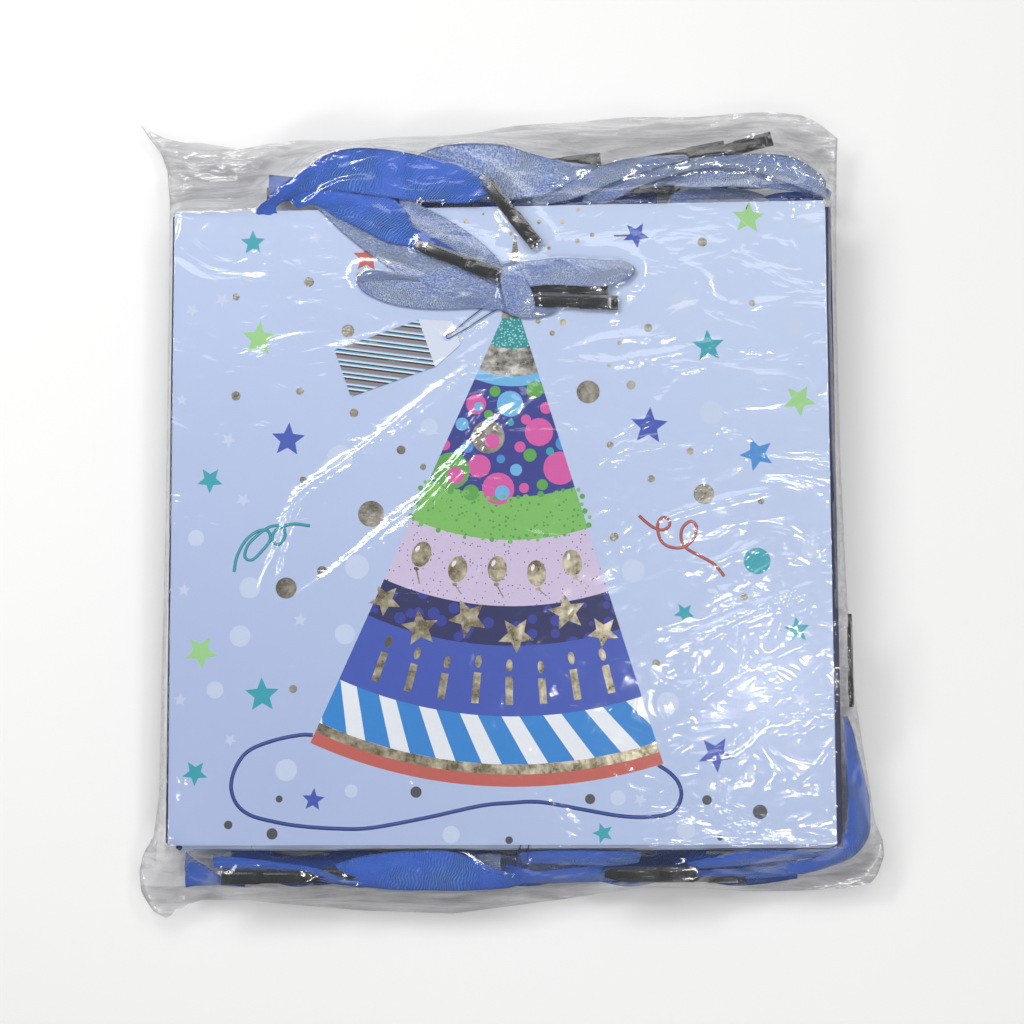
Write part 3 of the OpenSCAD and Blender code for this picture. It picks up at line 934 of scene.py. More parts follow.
# %% [markdown]
# ## Handle tips
# Each end of a ribbon is crimped in a moulded plastic tip. On a bag in use the tips go through the
# slits of the panel. In this pack they lie loose, on the bag or past its edge. One tip is a box
# that is cut across, narrowed towards the ribbon, given raised ridges by inset and extrude, a sunk
# panel and a notched free end.

# %% One tip
TIP_LONG, TIP_WIDE, TIP_HIGH = 36.0, 5.6, 1.8
TIP_STEP, TIP_BEAD = 3.0, 0.35


def tip_plastic():
    made, tree, shader = material("tip plastic", Roughness=0.22, Specular_IOR_Level=0.6,
                                  Coat_Weight=0.5, Coat_Roughness=0.08)
    place = object_place(tree)
    rough = add_node(tree, "ShaderNodeTexNoise", {"Vector": place, "Scale": 900.0, "Detail": 3.0})
    grained = use_group(tree, mottle, {"Vector": place, "Colour": colour("15181f"), "Scale": 500.0,
                                       "Amount": 0.35})
    wear = calculate(tree, "MULTIPLY_ADD", rough.outputs["Fac"], 0.25, 0.12)
    feed(tree, shader, Base_Color=grained["Colour"], Roughness=wear,
         Normal=bump(tree, rough.outputs["Fac"], 0.00005, 0.5))
    return made


def select_faces(piece, test):
    shape = bmesh.from_edit_mesh(piece.data)
    for face in shape.faces:
        face.select = bool(test(face.calc_center_median() / MM, face.normal))
    shape.select_flush_mode()
    bmesh.update_edit_mesh(piece.data)


def model_tip():
    deselect()
    bpy.ops.mesh.primitive_cube_add(size=MM, location=(0, 0, (TIP_HIGH - TIP_BEAD) * MM / 2))
    tip = bpy.context.object
    tip.name = "tip"
    tip.scale = (TIP_LONG, TIP_WIDE, TIP_HIGH - TIP_BEAD)
    bpy.ops.object.transform_apply(location=True, scale=True)
    bpy.ops.object.mode_set(mode="EDIT")
    bpy.ops.mesh.select_mode(type="FACE")
    for x in (-14.0, TIP_STEP - 0.7, TIP_STEP, 14.5):
        bpy.ops.mesh.select_all(action="SELECT")
        bpy.ops.mesh.bisect(plane_co=(x * MM, 0, 0), plane_no=(1, 0, 0))
    # the part towards the ribbon is a little narrower than the part that locks
    select_faces(tip, lambda c, n: abs(n.y) > 0.9 and c.x < TIP_STEP - 0.7)
    bpy.ops.transform.resize(value=(1, 0.88, 1), center_override=(0, 0, 0))
    # a raised ridge along each part
    for low, high, side in ((-14.0, TIP_STEP - 0.7, 0.9), (TIP_STEP, 14.5, 1.1)):
        select_faces(tip, lambda c, n: n.z > 0.9 and low < c.x < high)
        bpy.ops.mesh.inset(thickness=side * MM, depth=0)
        bpy.ops.mesh.extrude_region_move(TRANSFORM_OT_translate={"value": (0, 0, TIP_BEAD * MM)})
        bpy.ops.transform.resize(value=(0.985, 0.72, 1),
                                 center_override=((low + high) / 2 * MM, 0, 0))
    # a sunk panel at the free end, and a notch that leaves two claws
    select_faces(tip, lambda c, n: n.z > 0.9 and c.x > 14.5)
    bpy.ops.mesh.inset(thickness=0.6 * MM, depth=-0.3 * MM)
    for y in (-1.1, 1.1):
        bpy.ops.mesh.select_all(action="SELECT")
        bpy.ops.mesh.bisect(plane_co=(0, y * MM, 0), plane_no=(0, 1, 0))
    select_faces(tip, lambda c, n: n.x < -0.9 and c.x < -17.5)
    bpy.ops.transform.resize(value=(1, 0.55, 0.8), center_override=(-18 * MM, 0, 0.7 * MM))
    select_faces(tip, lambda c, n: n.x > 0.9 and c.x > 17.9 and abs(c.y) < 1.1)
    bpy.ops.mesh.extrude_region_move(TRANSFORM_OT_translate={"value": (-1.4 * MM, 0, 0)})
    bpy.ops.object.mode_set(mode="OBJECT")
    apply_modifier(tip, "BEVEL", width=0.22 * MM, segments=2, limit_method="ANGLE",
                   angle_limit=math.radians(32))
    smooth_shade(tip, 40)
    return tip


tip_model = model_tip()
give(tip_model, tip_plastic())
print("tip", len(tip_model.data.polygons), "faces")

# %% [markdown]
# Each bag has four tips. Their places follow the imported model: on the top bag they lie over its
# face, and on the others beyond its edge.

# %% Tips on each bag
FACE_TIPS = [(5, -2.3, -52, "high"), (-15.4, -22, -22, "high"), (26, -33, -2, "low"),
             (30, -39.2, -3, "low")]
SIDE_TIPS = [(-56, 10, 0, "back"), (76, 10, 0, "back"), (94, 11, 0, "front"),
             (-134, -72, 90, "on edge")]
PAST_TIPS = [(76, 21.5, 10, "back"), (114, 10, 0, "back"), (26, 18.5, 5, "front"),
             (95, 23, 14, "front")]
PLAIN_TIPS = [(-56, 10, 0, "back"), (76, 10, 0, "back"), (-76, 10, 0, "front"),
              (66, 10, 0, "front")]
TIP_PLACES = {1: FACE_TIPS, 2: SIDE_TIPS, 3: PAST_TIPS, 4: PLAIN_TIPS, 5: PLAIN_TIPS,
              6: PLAIN_TIPS}
TIP_LEVELS = {"low": 4.25, "high": 5.45, "back": 0.1, "front": 2.1, "on edge": 2.1 + TIP_WIDE / 2}

for number in BAGS:
    base = bag_place(number, "bottom")
    tips = []
    for x, y, turn, level in TIP_PLACES[number]:
        # the free end of a left tip looks left, except on the face
        flip = 180 if level in ("back", "front") and x < 0 else 0
        place = Matrix.Translation((x * MM, (y + BAG_HEIGHT / 2) * MM, TIP_LEVELS[level] * MM))
        spin = Matrix.Rotation(math.radians(turn + flip), 4, "Z")
        if level == "on edge":
            upright = Matrix.Rotation(math.pi / 2, 4, "X")
            spin = spin @ upright @ Matrix.Translation((0, 0, -TIP_HIGH * MM / 2))
        tips.append(copy_of(tip_model, base @ place @ spin))
    piece = join(tips, f"bag_{number}_tips")
    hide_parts(f"bag_{number}_handle_tips")
    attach(piece, bag_body(number))
bpy.data.objects.remove(tip_model)
print("tips on", len(BAGS), "bags")

# %% [markdown]
# ## Satin ribbons
# A handle is a strip of satin, 20 mm wide. Lying in the pack it is bent, folded and twisted, so
# it is lofted: a list of stations gives both edges of the strip, and the cloth between them is
# crowned a little and crumpled by noise. A thin Solidify gives it two sides. The two colours of
# satin share the rib group, which also paints a lighter sheen on the crests of the ribs, but the
# pale one has more crepe in its weave. The pale satin's colour is made lighter still, as painted
# light that matches the brightly lit bow.

# %% Satin
RIBBON_WIDE, RIBBON_THICK = 20.0, 0.22
# the woven edge of the ribbon begins this far from its middle, in metres
SELVAGE = 0.0093


def satin(name, base, painted_sheen_colour, rib, slant, crepe):
    made, tree, shader = material(name, Roughness=0.30, Sheen_Weight=0.25, Sheen_Roughness=0.35,
                                  Anisotropic=0.5, Specular_IOR_Level=0.6)
    place = flat_place(tree)
    woven = use_group(tree, satin_ribs, {"Vector": place, "Rib": rib, "Slant": slant,
                                         "Crepe": crepe, "Colour": colour(base),
                                         "Painted sheen": colour(painted_sheen_colour)})
    across = axes_of(tree, place)["X"]
    selvage = calculate(tree, "GREATER_THAN", calculate(tree, "ABSOLUTE", across), SELVAGE)
    edged = blend_colours(tree, calculate(tree, "MULTIPLY", selvage, 0.45), woven["Colour"],
                          tuple(c * 0.35 for c in colour(base)[:3]) + (1,))
    weft = add_node(tree, "ShaderNodeTexNoise", {"Vector": place, "Scale": 2600.0, "Detail": 2.0})
    tall = calculate(tree, "MULTIPLY_ADD", weft.outputs["Fac"], 0.25, woven["Height"])
    feed(tree, shader, Base_Color=edged, Normal=bump(tree, tall, 0.0008, 0.9))
    return made


# the second colour of each satin is a painted sheen on its rib crests
royal_satin = satin("royal satin", "2764d6", "78b0fa", 0.0011, 0.6, 0.35)
# the pale satin's base is made lighter than the cloth's own colour, as painted light from the
# brightly lit bow
pale_satin = satin("pale satin", "769aee", "dae8ff", 0.0009, 0.35, 1.3)


def cloth_strip(name, stations, seed, crown=0.5, crumple=0.35, pleats=0.0):
    """A strip between two edges. Each station is x, y, z of one edge and of the other, in mm."""
    line = curve_through(stations, 1.3)
    across = 14
    run = np.concatenate([[0], np.cumsum(np.linalg.norm(
        np.diff((line[:, :3] + line[:, 3:]) / 2, axis=0), axis=1))])
    points, uvs, faces = [], [], []
    for i, row in enumerate(line):
        first, second = Vector(row[:3]), Vector(row[3:])
        ahead = Vector(line[min(i + 1, len(line) - 1)][:3]) - Vector(line[max(i - 1, 0)][:3])
        side = second - first
        up = side.cross(ahead)
        up = -up.normalized() if up.z < 0 else up.normalized()
        share = run[i] / run[-1]
        for k in range(across + 1):
            u = k / across
            lift = crown * math.sin(math.pi * u)
            spot = Vector((run[i] * 0.07, u * RIBBON_WIDE * 0.13, seed * 7.3))
            lift += crumple * noise.noise(spot * 1.6) + crumple * 0.4 * noise.noise(spot * 4.0)
            lift += pleats * share ** 2 * math.sin(u * 5 * math.tau) * 0.5
            points.append((first.lerp(second, u) + up * lift) * MM)
            uvs.append(((u - 0.5) * RIBBON_WIDE * MM, run[i] * MM))
    for i in range(len(line) - 1):
        for k in range(across):
            a = i * (across + 1) + k
            faces.append((a, a + 1, a + across + 2, a + across + 1))
    piece = piece_from(name, points, faces, uvs)
    select_only(piece)
    bpy.ops.object.mode_set(mode="EDIT")
    bpy.ops.mesh.select_all(action="SELECT")
    bpy.ops.mesh.normals_make_consistent(inside=False)
    bpy.ops.object.mode_set(mode="OBJECT")
    apply_modifier(piece, "SOLIDIFY", thickness=RIBBON_THICK * MM, offset=0)
    smooth_shade(piece, 60)
    return piece, float(run[-1])


def flat_run(first, last, y, z, wide, seed):
    """Stations for a ribbon that lies loosely along an edge of the bags."""
    stations = []
    steps = max(3, int(abs(last - first) / 13))
    for k in range(steps + 1):
        x = first + (last - first) * k / steps
        sway = 1.6 * math.sin(k * 1.9 + seed)
        lean = 0.9 * math.sin(k * 1.3 + seed * 2)
        stations.append((x, y + wide / 2 + sway, z + lean, x, y - wide / 2 + sway, z - lean))
    return stations


# %% [markdown]
# The stations below are in millimetres in the pack's own frame. The top bag's royal handle makes
# an arch over its edge. Its pale handle is tied in a bow on its face.

# %% Stations of the visible ribbons
ARCH_TOP = [(-100.5, 119.1, 24.4, -91.5, 118.9, 24.4), (-99.7, 122.6, 26, -92.3, 122.4, 25.8),
            (-93.1, 126.8, 27.6, -86.9, 125.5, 26.9), (-81.5, 136, 28.3, -79.5, 128.1, 27.3),
            (-72, 142.6, 28.6, -71, 128.6, 27.5), (-60.4, 145.1, 28.6, -57.3, 126.7, 27.6),
            (-47.8, 144.3, 28.5, -43.7, 124.6, 27.6), (-35.2, 141.9, 28.4, -33.2, 123.1, 27.6),
            (-22.6, 138.5, 28.3, -22.7, 122.2, 27.7), (-13.3, 135.1, 28.2, -13.3, 122.2, 28),
            (-7.5, 132.3, 28.3, -8.1, 124.4, 28.2), (-5.4, 130.1, 28.3, -6.5, 126.8, 28.3)]
ARCH_LEG = [(-86.9, 125.6, 26.6, -83.8, 121.5, 26.4), (-79.5, 128.1, 27.2, -76.4, 122.8, 26.6),
            (-68.9, 128.3, 27.3, -67.9, 117.7, 27), (-57.4, 126.5, 27.3, -57.3, 112.1, 27.1),
            (-45.8, 124.6, 27.2, -47.9, 107.2, 27.2), (-40.3, 119.9, 27.4, -40.6, 105.6, 27.2),
            (-36.9, 113.4, 27.6, -34.3, 104.4, 27.4), (-30.1, 109, 27.7, -29, 103.5, 27.5),
            (-22.7, 104.6, 27.8, -22.8, 101.2, 27.7), (-18.6, 101.9, 27.8, -19.6, 99.6, 27.8)]
LIGHT_LOW = [(-68.1, 125.4, 26.1, -77, 122.4, 25.9), (-58.6, 119, 26.1, -74.4, 120.2, 25.9),
             (-48, 110.3, 26.1, -65.9, 111.8, 25.9), (-37.6, 104.8, 26.1, -55.4, 103.1, 25.9),
             (-27.1, 101.4, 26.2, -43.9, 94.9, 25.9), (-14.6, 94.8, 26.3, -31.3, 87.6, 25.9),
             (-5.2, 89.3, 26.5, -19.8, 83.1, 26), (0.5, 86, 26.7, -8.4, 80.5, 26.2)]
LIGHT_FLAP = [(-35.5, 124.7, 26.2, -42.8, 124.9, 25.9), (-33.9, 121.7, 26.3, -40.7, 117.6, 25.9),
              (-22.9, 115.6, 26.4, -31.3, 110, 26), (-12.4, 108.4, 26.6, -19.8, 101.3, 26.1),
              (-4.6, 101, 26.8, -10.4, 92.6, 26.3), (-1, 94.9, 27, -3.6, 87.2, 26.5)]
LOOP_LEFT = [(-4.2, 86.6, 26.5, -4.2, 78.8, 26.2), (-12.5, 84.2, 26.5, -11.5, 79.8, 26),
             (-20.8, 85.9, 26.4, -23, 79.6, 25.9), (-30.2, 89, 26.4, -35.5, 80.2, 25.9),
             (-38.6, 92.5, 26.4, -45.9, 82.1, 25.9), (-48, 94.5, 26.5, -53.3, 85, 25.9),
             (-56.3, 94.7, 26.5, -58, 88, 25.9), (-59.7, 93.2, 26.3, -60.1, 91.4, 26)]
LOOP_LIP = [(-60, 91.9, 26.4, -59.5, 94.3, 26.7), (-57.4, 91.3, 26.6, -56.3, 95.4, 27.4),
            (-50.1, 91.7, 26.8, -48.9, 95.2, 27.6), (-41.7, 91.9, 26.8, -40.6, 93.4, 27.4),
            (-35.4, 90.9, 26.6, -34.4, 91.7, 27)]
LOOP_RIGHT = [(-1.5, 95.9, 27.6, -0.5, 86, 27), (4.3, 97.5, 28, 6.2, 87.1, 28),
              (11.5, 98.3, 28.2, 13.5, 88.1, 28.4), (20.9, 99.2, 28.1, 21.8, 88.1, 28.4),
              (29.2, 98.8, 27.9, 29, 87.5, 28.4), (37.4, 98.1, 27.8, 38.3, 87.3, 28.3),
              (45.7, 97.8, 27.5, 45.6, 89.2, 27.7), (49.8, 96.2, 27.1, 49.2, 90.8, 27),
              (51.2, 94.3, 26.6, 50.8, 92.7, 26.5)]
KNOT = [(-2.1, 96.7, 26.4, 3.2, 98.7, 26.4), (-2.5, 92.2, 28, 5.8, 95.2, 28.4),
        (-1.5, 85.7, 28.5, 8.9, 88.7, 28.9), (-0.5, 80.5, 28.1, 11, 83.5, 28.4),
        (0.5, 77.5, 27.1, 11.4, 79.4, 27.2), (3, 76.4, 26.2, 9.8, 76.3, 26.2)]
BOW_LEG = [(-4.2, 88.3, 26.1, -8.4, 80, 26), (1.1, 85.6, 26.4, -2.1, 78.8, 26.2),
           (6.4, 84.3, 26.6, 4.2, 76, 26.3), (13.6, 80.2, 26.4, 12.4, 75.6, 26.1),
           (20.2, 79, 26.1, 18.6, 77.2, 26)]
LEAF = [(-39.1, 141.7, 23, -39.4, 129.6, 20), (-27.9, 145.9, 24.6, -25, 126.8, 21),
        (-15.7, 147, 25.3, -8.4, 123.7, 22), (-1.4, 146.1, 25.3, 3.8, 124.5, 22.4),
        (9.5, 142.6, 25, 14.8, 126.1, 22.6), (20.4, 139.6, 24.6, 24.7, 130.4, 22.8),
        (29.2, 138.1, 24.2, 31.3, 133.9, 23), (36.8, 137.6, 23.6, 36.8, 136.2, 23.2)]
TWIST_HIGH = [(6.9, 126.4, 20, 1.3, 122.7, 19), (16.9, 128.9, 21.5, 17.9, 123.1, 19.8),
              (26.9, 132.3, 22.5, 30, 125.6, 21.5), (36.8, 136.8, 23.4, 41, 129.9, 22.6),
              (46.6, 139.3, 24, 52, 133.9, 23.2), (58.7, 140.6, 24.2, 63, 136.8, 23.4),
              (71.8, 140.7, 24.2, 73.4, 138.9, 23.6)]
TWIST_LOW = [(29.9, 124.1, 18.5, 35.4, 122.2, 18), (32.4, 127.7, 20.1, 42, 123.7, 18.9),
             (41, 130.9, 21, 52, 128.9, 19.8), (53.1, 134.4, 21.8, 62.9, 132.5, 20.4),
             (65.2, 137.7, 22.4, 72.8, 135, 21), (76.1, 139.9, 22.8, 83.7, 136.1, 21.2),
             (91.4, 140.7, 22.6, 96.8, 134.6, 20.8), (103.4, 141, 22.2, 106.6, 131.6, 20),
             (114.3, 139.4, 21.4, 115.4, 128.4, 18.9), (123, 134.4, 20, 123, 125.7, 17.5),
             (127.2, 130.4, 18.5, 127.2, 124.2, 16.5)]
WIDE_RIGHT = [(55.2, 132.5, 16.6, 53, 129.4, 15.8), (64.1, 135.1, 17.9, 64, 130.3, 16.2),
              (75.1, 137.4, 18.8, 76.1, 129.5, 16.4), (88.2, 138.9, 19.1, 91.4, 129.2, 16.4),
              (102.4, 139.4, 18.6, 106.8, 128.1, 16), (115.5, 137.3, 17.9, 117.7, 126.6, 15.7),
              (124.2, 130.7, 16.8, 124.3, 125.1, 15.5), (129.7, 126.5, 15.6, 128.6, 123, 14.9)]
LOW_RIGHT = [(64, 124.4, 9.5, 67.3, 122.4, 9), (65.1, 127.3, 11.5, 73.9, 122.9, 9.5),
             (70.6, 129.7, 12.3, 81.6, 124, 10), (81.6, 130.1, 12.5, 91.5, 124.2, 10.2),
             (94.8, 129.2, 12.3, 101.4, 123.6, 10), (102.5, 127, 11.8, 106.9, 122.9, 9.8)]
ROYAL_PATCH = [(-10.2, 126, 14, -11.4, 122.9, 13.6), (1, 128.6, 15, 0.9, 122.6, 13.8),
               (12.2, 129.3, 15.2, 13.1, 122.8, 13.8), (22.1, 129.1, 15.2, 24.2, 122.6, 13.8),
               (30.9, 127, 15, 33, 122.6, 13.8), (41.9, 125.9, 14.4, 41.9, 122.6, 13.8)]
NAVY_STRIP = [(97.1, 124.1, 9, 97.1, 122.7, 7.4), (106.9, 127.6, 10.5, 109.1, 122.9, 7.6),
              (117.9, 128, 11, 119, 122.8, 7.8), (126.6, 126.3, 10.5, 127.2, 122.6, 7.8)]
END_LEFT = [(-128.6, -134, 14, -129.5, -148.2, 9.6), (-125.3, -136.3, 16.5, -126.5, -147.5, 10),
            (-118.7, -140.3, 16.8, -119.8, -147.2, 10.5), (-112.4, -144.6, 15, -113.2, -147.1, 11),
            (-105.1, -146.1, 13, -105.5, -147.9, 11)]
END_STRIP = [(-116.6, -134.7, 19.5, -116.6, -140.2, 18), (-113.7, -135.2, 20.3, -113, -140.6, 18),
             (-100.6, -136.5, 20.6, -101, -141.1, 18), (-88.7, -138.1, 20.6, -85.8, -142.7, 18),
             (-75.7, -140.1, 20.4, -71.8, -145.9, 17.6),
             (-67.2, -143.1, 19.8, -64.3, -146.9, 17.4), (-60.8, -145.5, 18.8, -57.9, -147.8, 17)]
END_WIDE = [(-68.8, -138.7, 19.6, -61.2, -147, 16.5), (-62.7, -136.7, 21.4, -55.8, -147.8, 16.5),
            (-51.8, -134.4, 22.4, -43.9, -148.7, 16.5), (-38.9, -133.4, 22.8, -29.9, -149, 16.5),
            (-25, -133.4, 22.4, -17, -149, 16.4), (-16.5, -135.5, 21.8, -6.3, -148.5, 16.4),
            (-8.1, -139.5, 20.8, 1.3, -147.5, 16.4), (1.5, -142.7, 19.6, 5.6, -145.8, 16.4)]
END_MIDDLE = [(3.6, -134.2, 20.5, 5.1, -138.8, 17), (10.8, -133.6, 21.6, 11.5, -138.4, 17.2),
              (22.5, -133.4, 22, 23.2, -139, 17.4), (33.2, -133.4, 22, 33.9, -139.3, 17.4),
              (41.2, -133.6, 21.8, 42.9, -139.2, 17.4), (47.5, -133.7, 21.2, 49.2, -138.3, 17.4),
              (51, -133.8, 20.4, 50.1, -137.9, 17.4)]
END_LOW = [(-2.1, -138.8, 14, -2.4, -146.1, 11.2), (11.5, -141.4, 15.6, 11.2, -146.6, 11.2),
           (25.9, -140, 15.8, 26.5, -146.1, 11.2), (41.1, -139.3, 15.4, 41.8, -145.4, 11.2),
           (54.5, -140.1, 14.9, 54.4, -144.8, 11.2), (68.8, -141.5, 14.4, 68.8, -145.1, 11.2),
           (83, -140.8, 14.4, 84, -145, 11.2), (96.4, -140, 14.4, 96.5, -144.6, 11.2),
           (108, -138.9, 14, 109, -143.6, 11.2)]
END_RISE = [(68.8, -137.9, 17, 69.7, -140.8, 16), (79.4, -136, 19.4, 82.1, -140.2, 16.6),
            (88.3, -134, 21, 91.9, -139.3, 16.8), (97.1, -133.6, 22.2, 101.7, -138, 17),
            (109.5, -133.6, 22.2, 113.2, -136.9, 17.2), (120.1, -133.6, 21.6, 123, -135.6, 17.4),
            (127.3, -131, 20.6, 129.2, -133.6, 17.6)]
SIDE_UP = [(103.6, -138, 15.5, 108.9, -142.8, 13.5), (109.7, -138, 17, 114.2, -142.7, 13.8),
           (117.6, -136.3, 18.6, 123.1, -140.4, 14.2), (126.4, -132, 20, 133.8, -135.6, 14.6),
           (130.2, -124, 21.4, 139.4, -127.7, 14.8), (130.6, -114, 22, 139.9, -117, 14.8),
           (130.4, -105.2, 22, 138.2, -106.8, 15), (130.2, -96.4, 21.6, 136.2, -97.2, 15.4),
           (130, -88.4, 21, 134, -88.4, 16), (129.9, -82.2, 20.4, 131.5, -82, 17)]

# %% [markdown]
# Each handle of each bag stands for one node of the imported model. A table lists what strips make
# it.

# %% Handles
HANDLES = [
    (1, "back", royal_satin, [(ARCH_TOP, 0.7), (ARCH_LEG, 0.7)]),
    (1, "front", pale_satin, [(LIGHT_LOW, 0.1), (LIGHT_FLAP, 0.1), (LOOP_LEFT, 0.2),
                              (LOOP_LIP, 0.0), (LOOP_RIGHT, 0.2), (KNOT, 0.3), (BOW_LEG, 0.1)]),
    (2, "front", royal_satin, [(END_STRIP, 0.3), (END_WIDE, 0.4), (END_MIDDLE, 0.3),
                               (END_RISE, 0.3), (SIDE_UP, 0.3)]),
    (2, "back", pale_satin, [(flat_run(-56, -4, -141.5, 14.4, 11, 1), 0.1)]),
    (3, "front", pale_satin, [(LEAF, 0.3), (TWIST_HIGH, 0.2), (TWIST_LOW, 0.3)]),
    (3, "back", royal_satin, [(ROYAL_PATCH, 0.1), (flat_run(-58, -14, 130, 14.6, 10, 3), 0.1)]),
    (4, "front", royal_satin, [(END_LOW, 0.3), (END_LEFT, 0.3),
                               (flat_run(-100, -8, -141.0, 10.6, 10, 8), 0.2)]),
    (4, "back", pale_satin, [(flat_run(-52, 30, -140.0, 8.0, 11, 4), 0.1)]),
    (5, "front", pale_satin, [(WIDE_RIGHT, 0.3), (LOW_RIGHT, 0.2),
                              (flat_run(-62, 40, 131, 9.4, 12, 5), 0.1)]),
    (5, "back", royal_satin, [(NAVY_STRIP, 0.1), (flat_run(-98, -50, 134.6, 9.9, 10, 3), 0.1),
                              (flat_run(-40, 60, 131, 5.8, 12, 6), 0.1)]),
    (6, "front", royal_satin, [(flat_run(-112, 112, -140.6, 5.0, 12, 7), 0.2)]),
    (6, "back", pale_satin, [(flat_run(-60, 50, -140.6, 2.4, 12, 2), 0.1)])]

for number, side, cloth, strips in HANDLES:
    made, total = [], 0.0
    # the bow on the top bag is pulled smooth, and the other ribbons are crumpled
    calm = 0.12 if number == 1 and side == "front" else 0.35
    for k, (stations, pleats) in enumerate(strips):
        piece, run = cloth_strip("strip", stations, seed=number * 10 + k, pleats=pleats,
                                 crown=0.25 if number == 1 else 0.5, crumple=calm)
        made.append(piece)
        total += run
    handle = join(made, f"bag_{number}_{side}_ribbon")
    give(handle, cloth)
    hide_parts(f"bag_{number}_{side}_handle")
    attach(handle, bag_body(number))

# %% [markdown]
# ## Film
# The film bag is one thin sheet that lies over whatever is in it. Its outline is given, and the
# height of its top layer is found the way a real film finds it: rays from above measure the
# bags, ribbons and tips, and the film relaxes over them like a stretched skin that sags between
# its supports. Creases are laid on afterwards as narrow ridges, and they only ever rise, so the
# film stays clear of what it covers.

# %% Outline of the film
LEFT = [(-160, -139), (-157, -142.5), (-150, -147), (-142, -148), (-135, -146.5), (-128, -142.5),
        (-112, -140.4), (-60, -139.8), (0, -139.0), (100, -138.6), (130, -138.8), (142, -140),
        (150, -143), (156, -147.6), (163, -152.6), (166, -153.6)]
RIGHT = [(-158, 134), (-147, 139.5), (-143.6, 142.5), (-136, 145.4), (-130, 145.0),
         (-122.7, 142.0), (-110, 140.4), (-93.8, 138.0), (-78.4, 136.0), (-66.5, 134.6),
         (-35, 133.0), (20, 131.4), (83, 131.0), (140, 132.2), (150, 132.8), (156, 129),
         (162, 124)]
SEALED = [(-148, -148), (-144, -156), (-139.5, -160.5), (-134, -159), (-129.7, -155.2),
          (-123.4, -153), (-106, -153), (-90.7, -154.6), (-59.2, -157.2), (-23.3, -158.4),
          (-10.2, -156.7), (19, -153), (40, -149.8), (52, -148.4), (75, -148.6), (93, -149.8),
          (111.5, -149.6), (132, -148.6), (140, -146.2), (146, -140)]
MOUTH = [(-154, 166.4), (-150, 163.6), (-146, 160), (-141, 156.5), (-133, 154.2), (-126.9, 154.2),
         (-110, 151.6), (-98, 152.4), (-85, 153.3), (-64, 153.4), (-44, 154.6), (-22, 155.6),
         (-3, 157.2), (17, 158.4), (37, 159.6), (58, 160.6), (78, 161.2), (110, 161.4), (121, 160),
         (127, 157), (131.6, 151.6), (134, 147)]


def spread(count, dense, margin):
    """Numbers from 0 to 1, closer together near both ends."""
    middle = np.linspace(margin, 1 - margin, count - 2 * dense)
    end = np.linspace(0, margin, dense + 1)[:-1]
    return np.concatenate([end, middle, 1 - end[::-1]])


def outline(table, at):
    places, values = zip(*table)
    return np.interp(at, places, values)


def neighbour_mean(grid):
    """The mean of the four neighbours of each inner point of a grid."""
    return (grid[2:, 1:-1] + grid[:-2, 1:-1] + grid[1:-1, 2:] + grid[1:-1, :-2]) / 4


FIRST_LEFT, FIRST_WIDTH = -143, 277


def film_grid(columns, rows):
    """x and y of a sheet inside the outline, in mm, as arrays with a row for each step along."""
    share, along = np.meshgrid(columns, rows)
    # x and y hang on each other, so x starts from a plain guess and is corrected twice
    x = FIRST_LEFT + share * FIRST_WIDTH
    for _ in range(2):
        y = outline(SEALED, x) + along * (outline(MOUTH, x) - outline(SEALED, x))
        x = outline(LEFT, y) + share * (outline(RIGHT, y) - outline(LEFT, y))
    return x, y


ROWS = spread(268, 9, 0.03)
TOP_COLUMNS, UNDER_COLUMNS = spread(244, 8, 0.028), spread(42, 8, 0.03)
top_x, top_y = film_grid(TOP_COLUMNS, ROWS)
print("film grid", top_x.shape)

# %% [markdown]
# The rays fall on a tree of the faces of the bags, tags, threads, tips and ribbons. The result is
# widened by one step on each side, so that the film can't cut a corner between two rays.

# %% What the film lies on
CLEAR = 0.42
RAY_HEIGHT = 0.08


def faces_below():
    points, faces, start = [], [], 0
    for thing in bpy.context.scene.objects:
        inside = thing.type == "MESH" and thing.name.startswith("bag_") and not thing.hide_render
        if not inside or thing.name.endswith(("_print", "_card", "_board")):
            continue
        mesh = thing.data
        points += [v.co[:] for v in mesh.vertices]
        faces += [[start + i for i in face.vertices] for face in mesh.polygons]
        start += len(mesh.vertices)
    return BVHTree.FromPolygons(points, faces)


tree_below = faces_below()
DOWN = Vector((0, 0, -1))


def height_below(x, y):
    hit = tree_below.ray_cast(Vector((x * MM, y * MM, RAY_HEIGHT)), DOWN)
    return hit[0].z / MM if hit[0] else 0.0


found = np.vectorize(height_below)(top_x, top_y)
wide = found.copy()
for shift in ((0, 1), (0, -1), (1, 0), (-1, 0)):
    moved = np.roll(found, shift, axis=(0, 1))
    wide[2:-2, 3:-3] = np.maximum(wide, moved)[2:-2, 3:-3]
floor_of_film = wide + CLEAR
print("highest thing under the film", round(found.max(), 2), "mm")

# %% [markdown]
# The edge of the film is set first: about half way up the stack along the sides, pinched at the
# sealed end, and a little open at the mouth. Then the inside relaxes. Each step moves every
# point to the mean of its neighbours, less a small sag, but never below what it lies on.

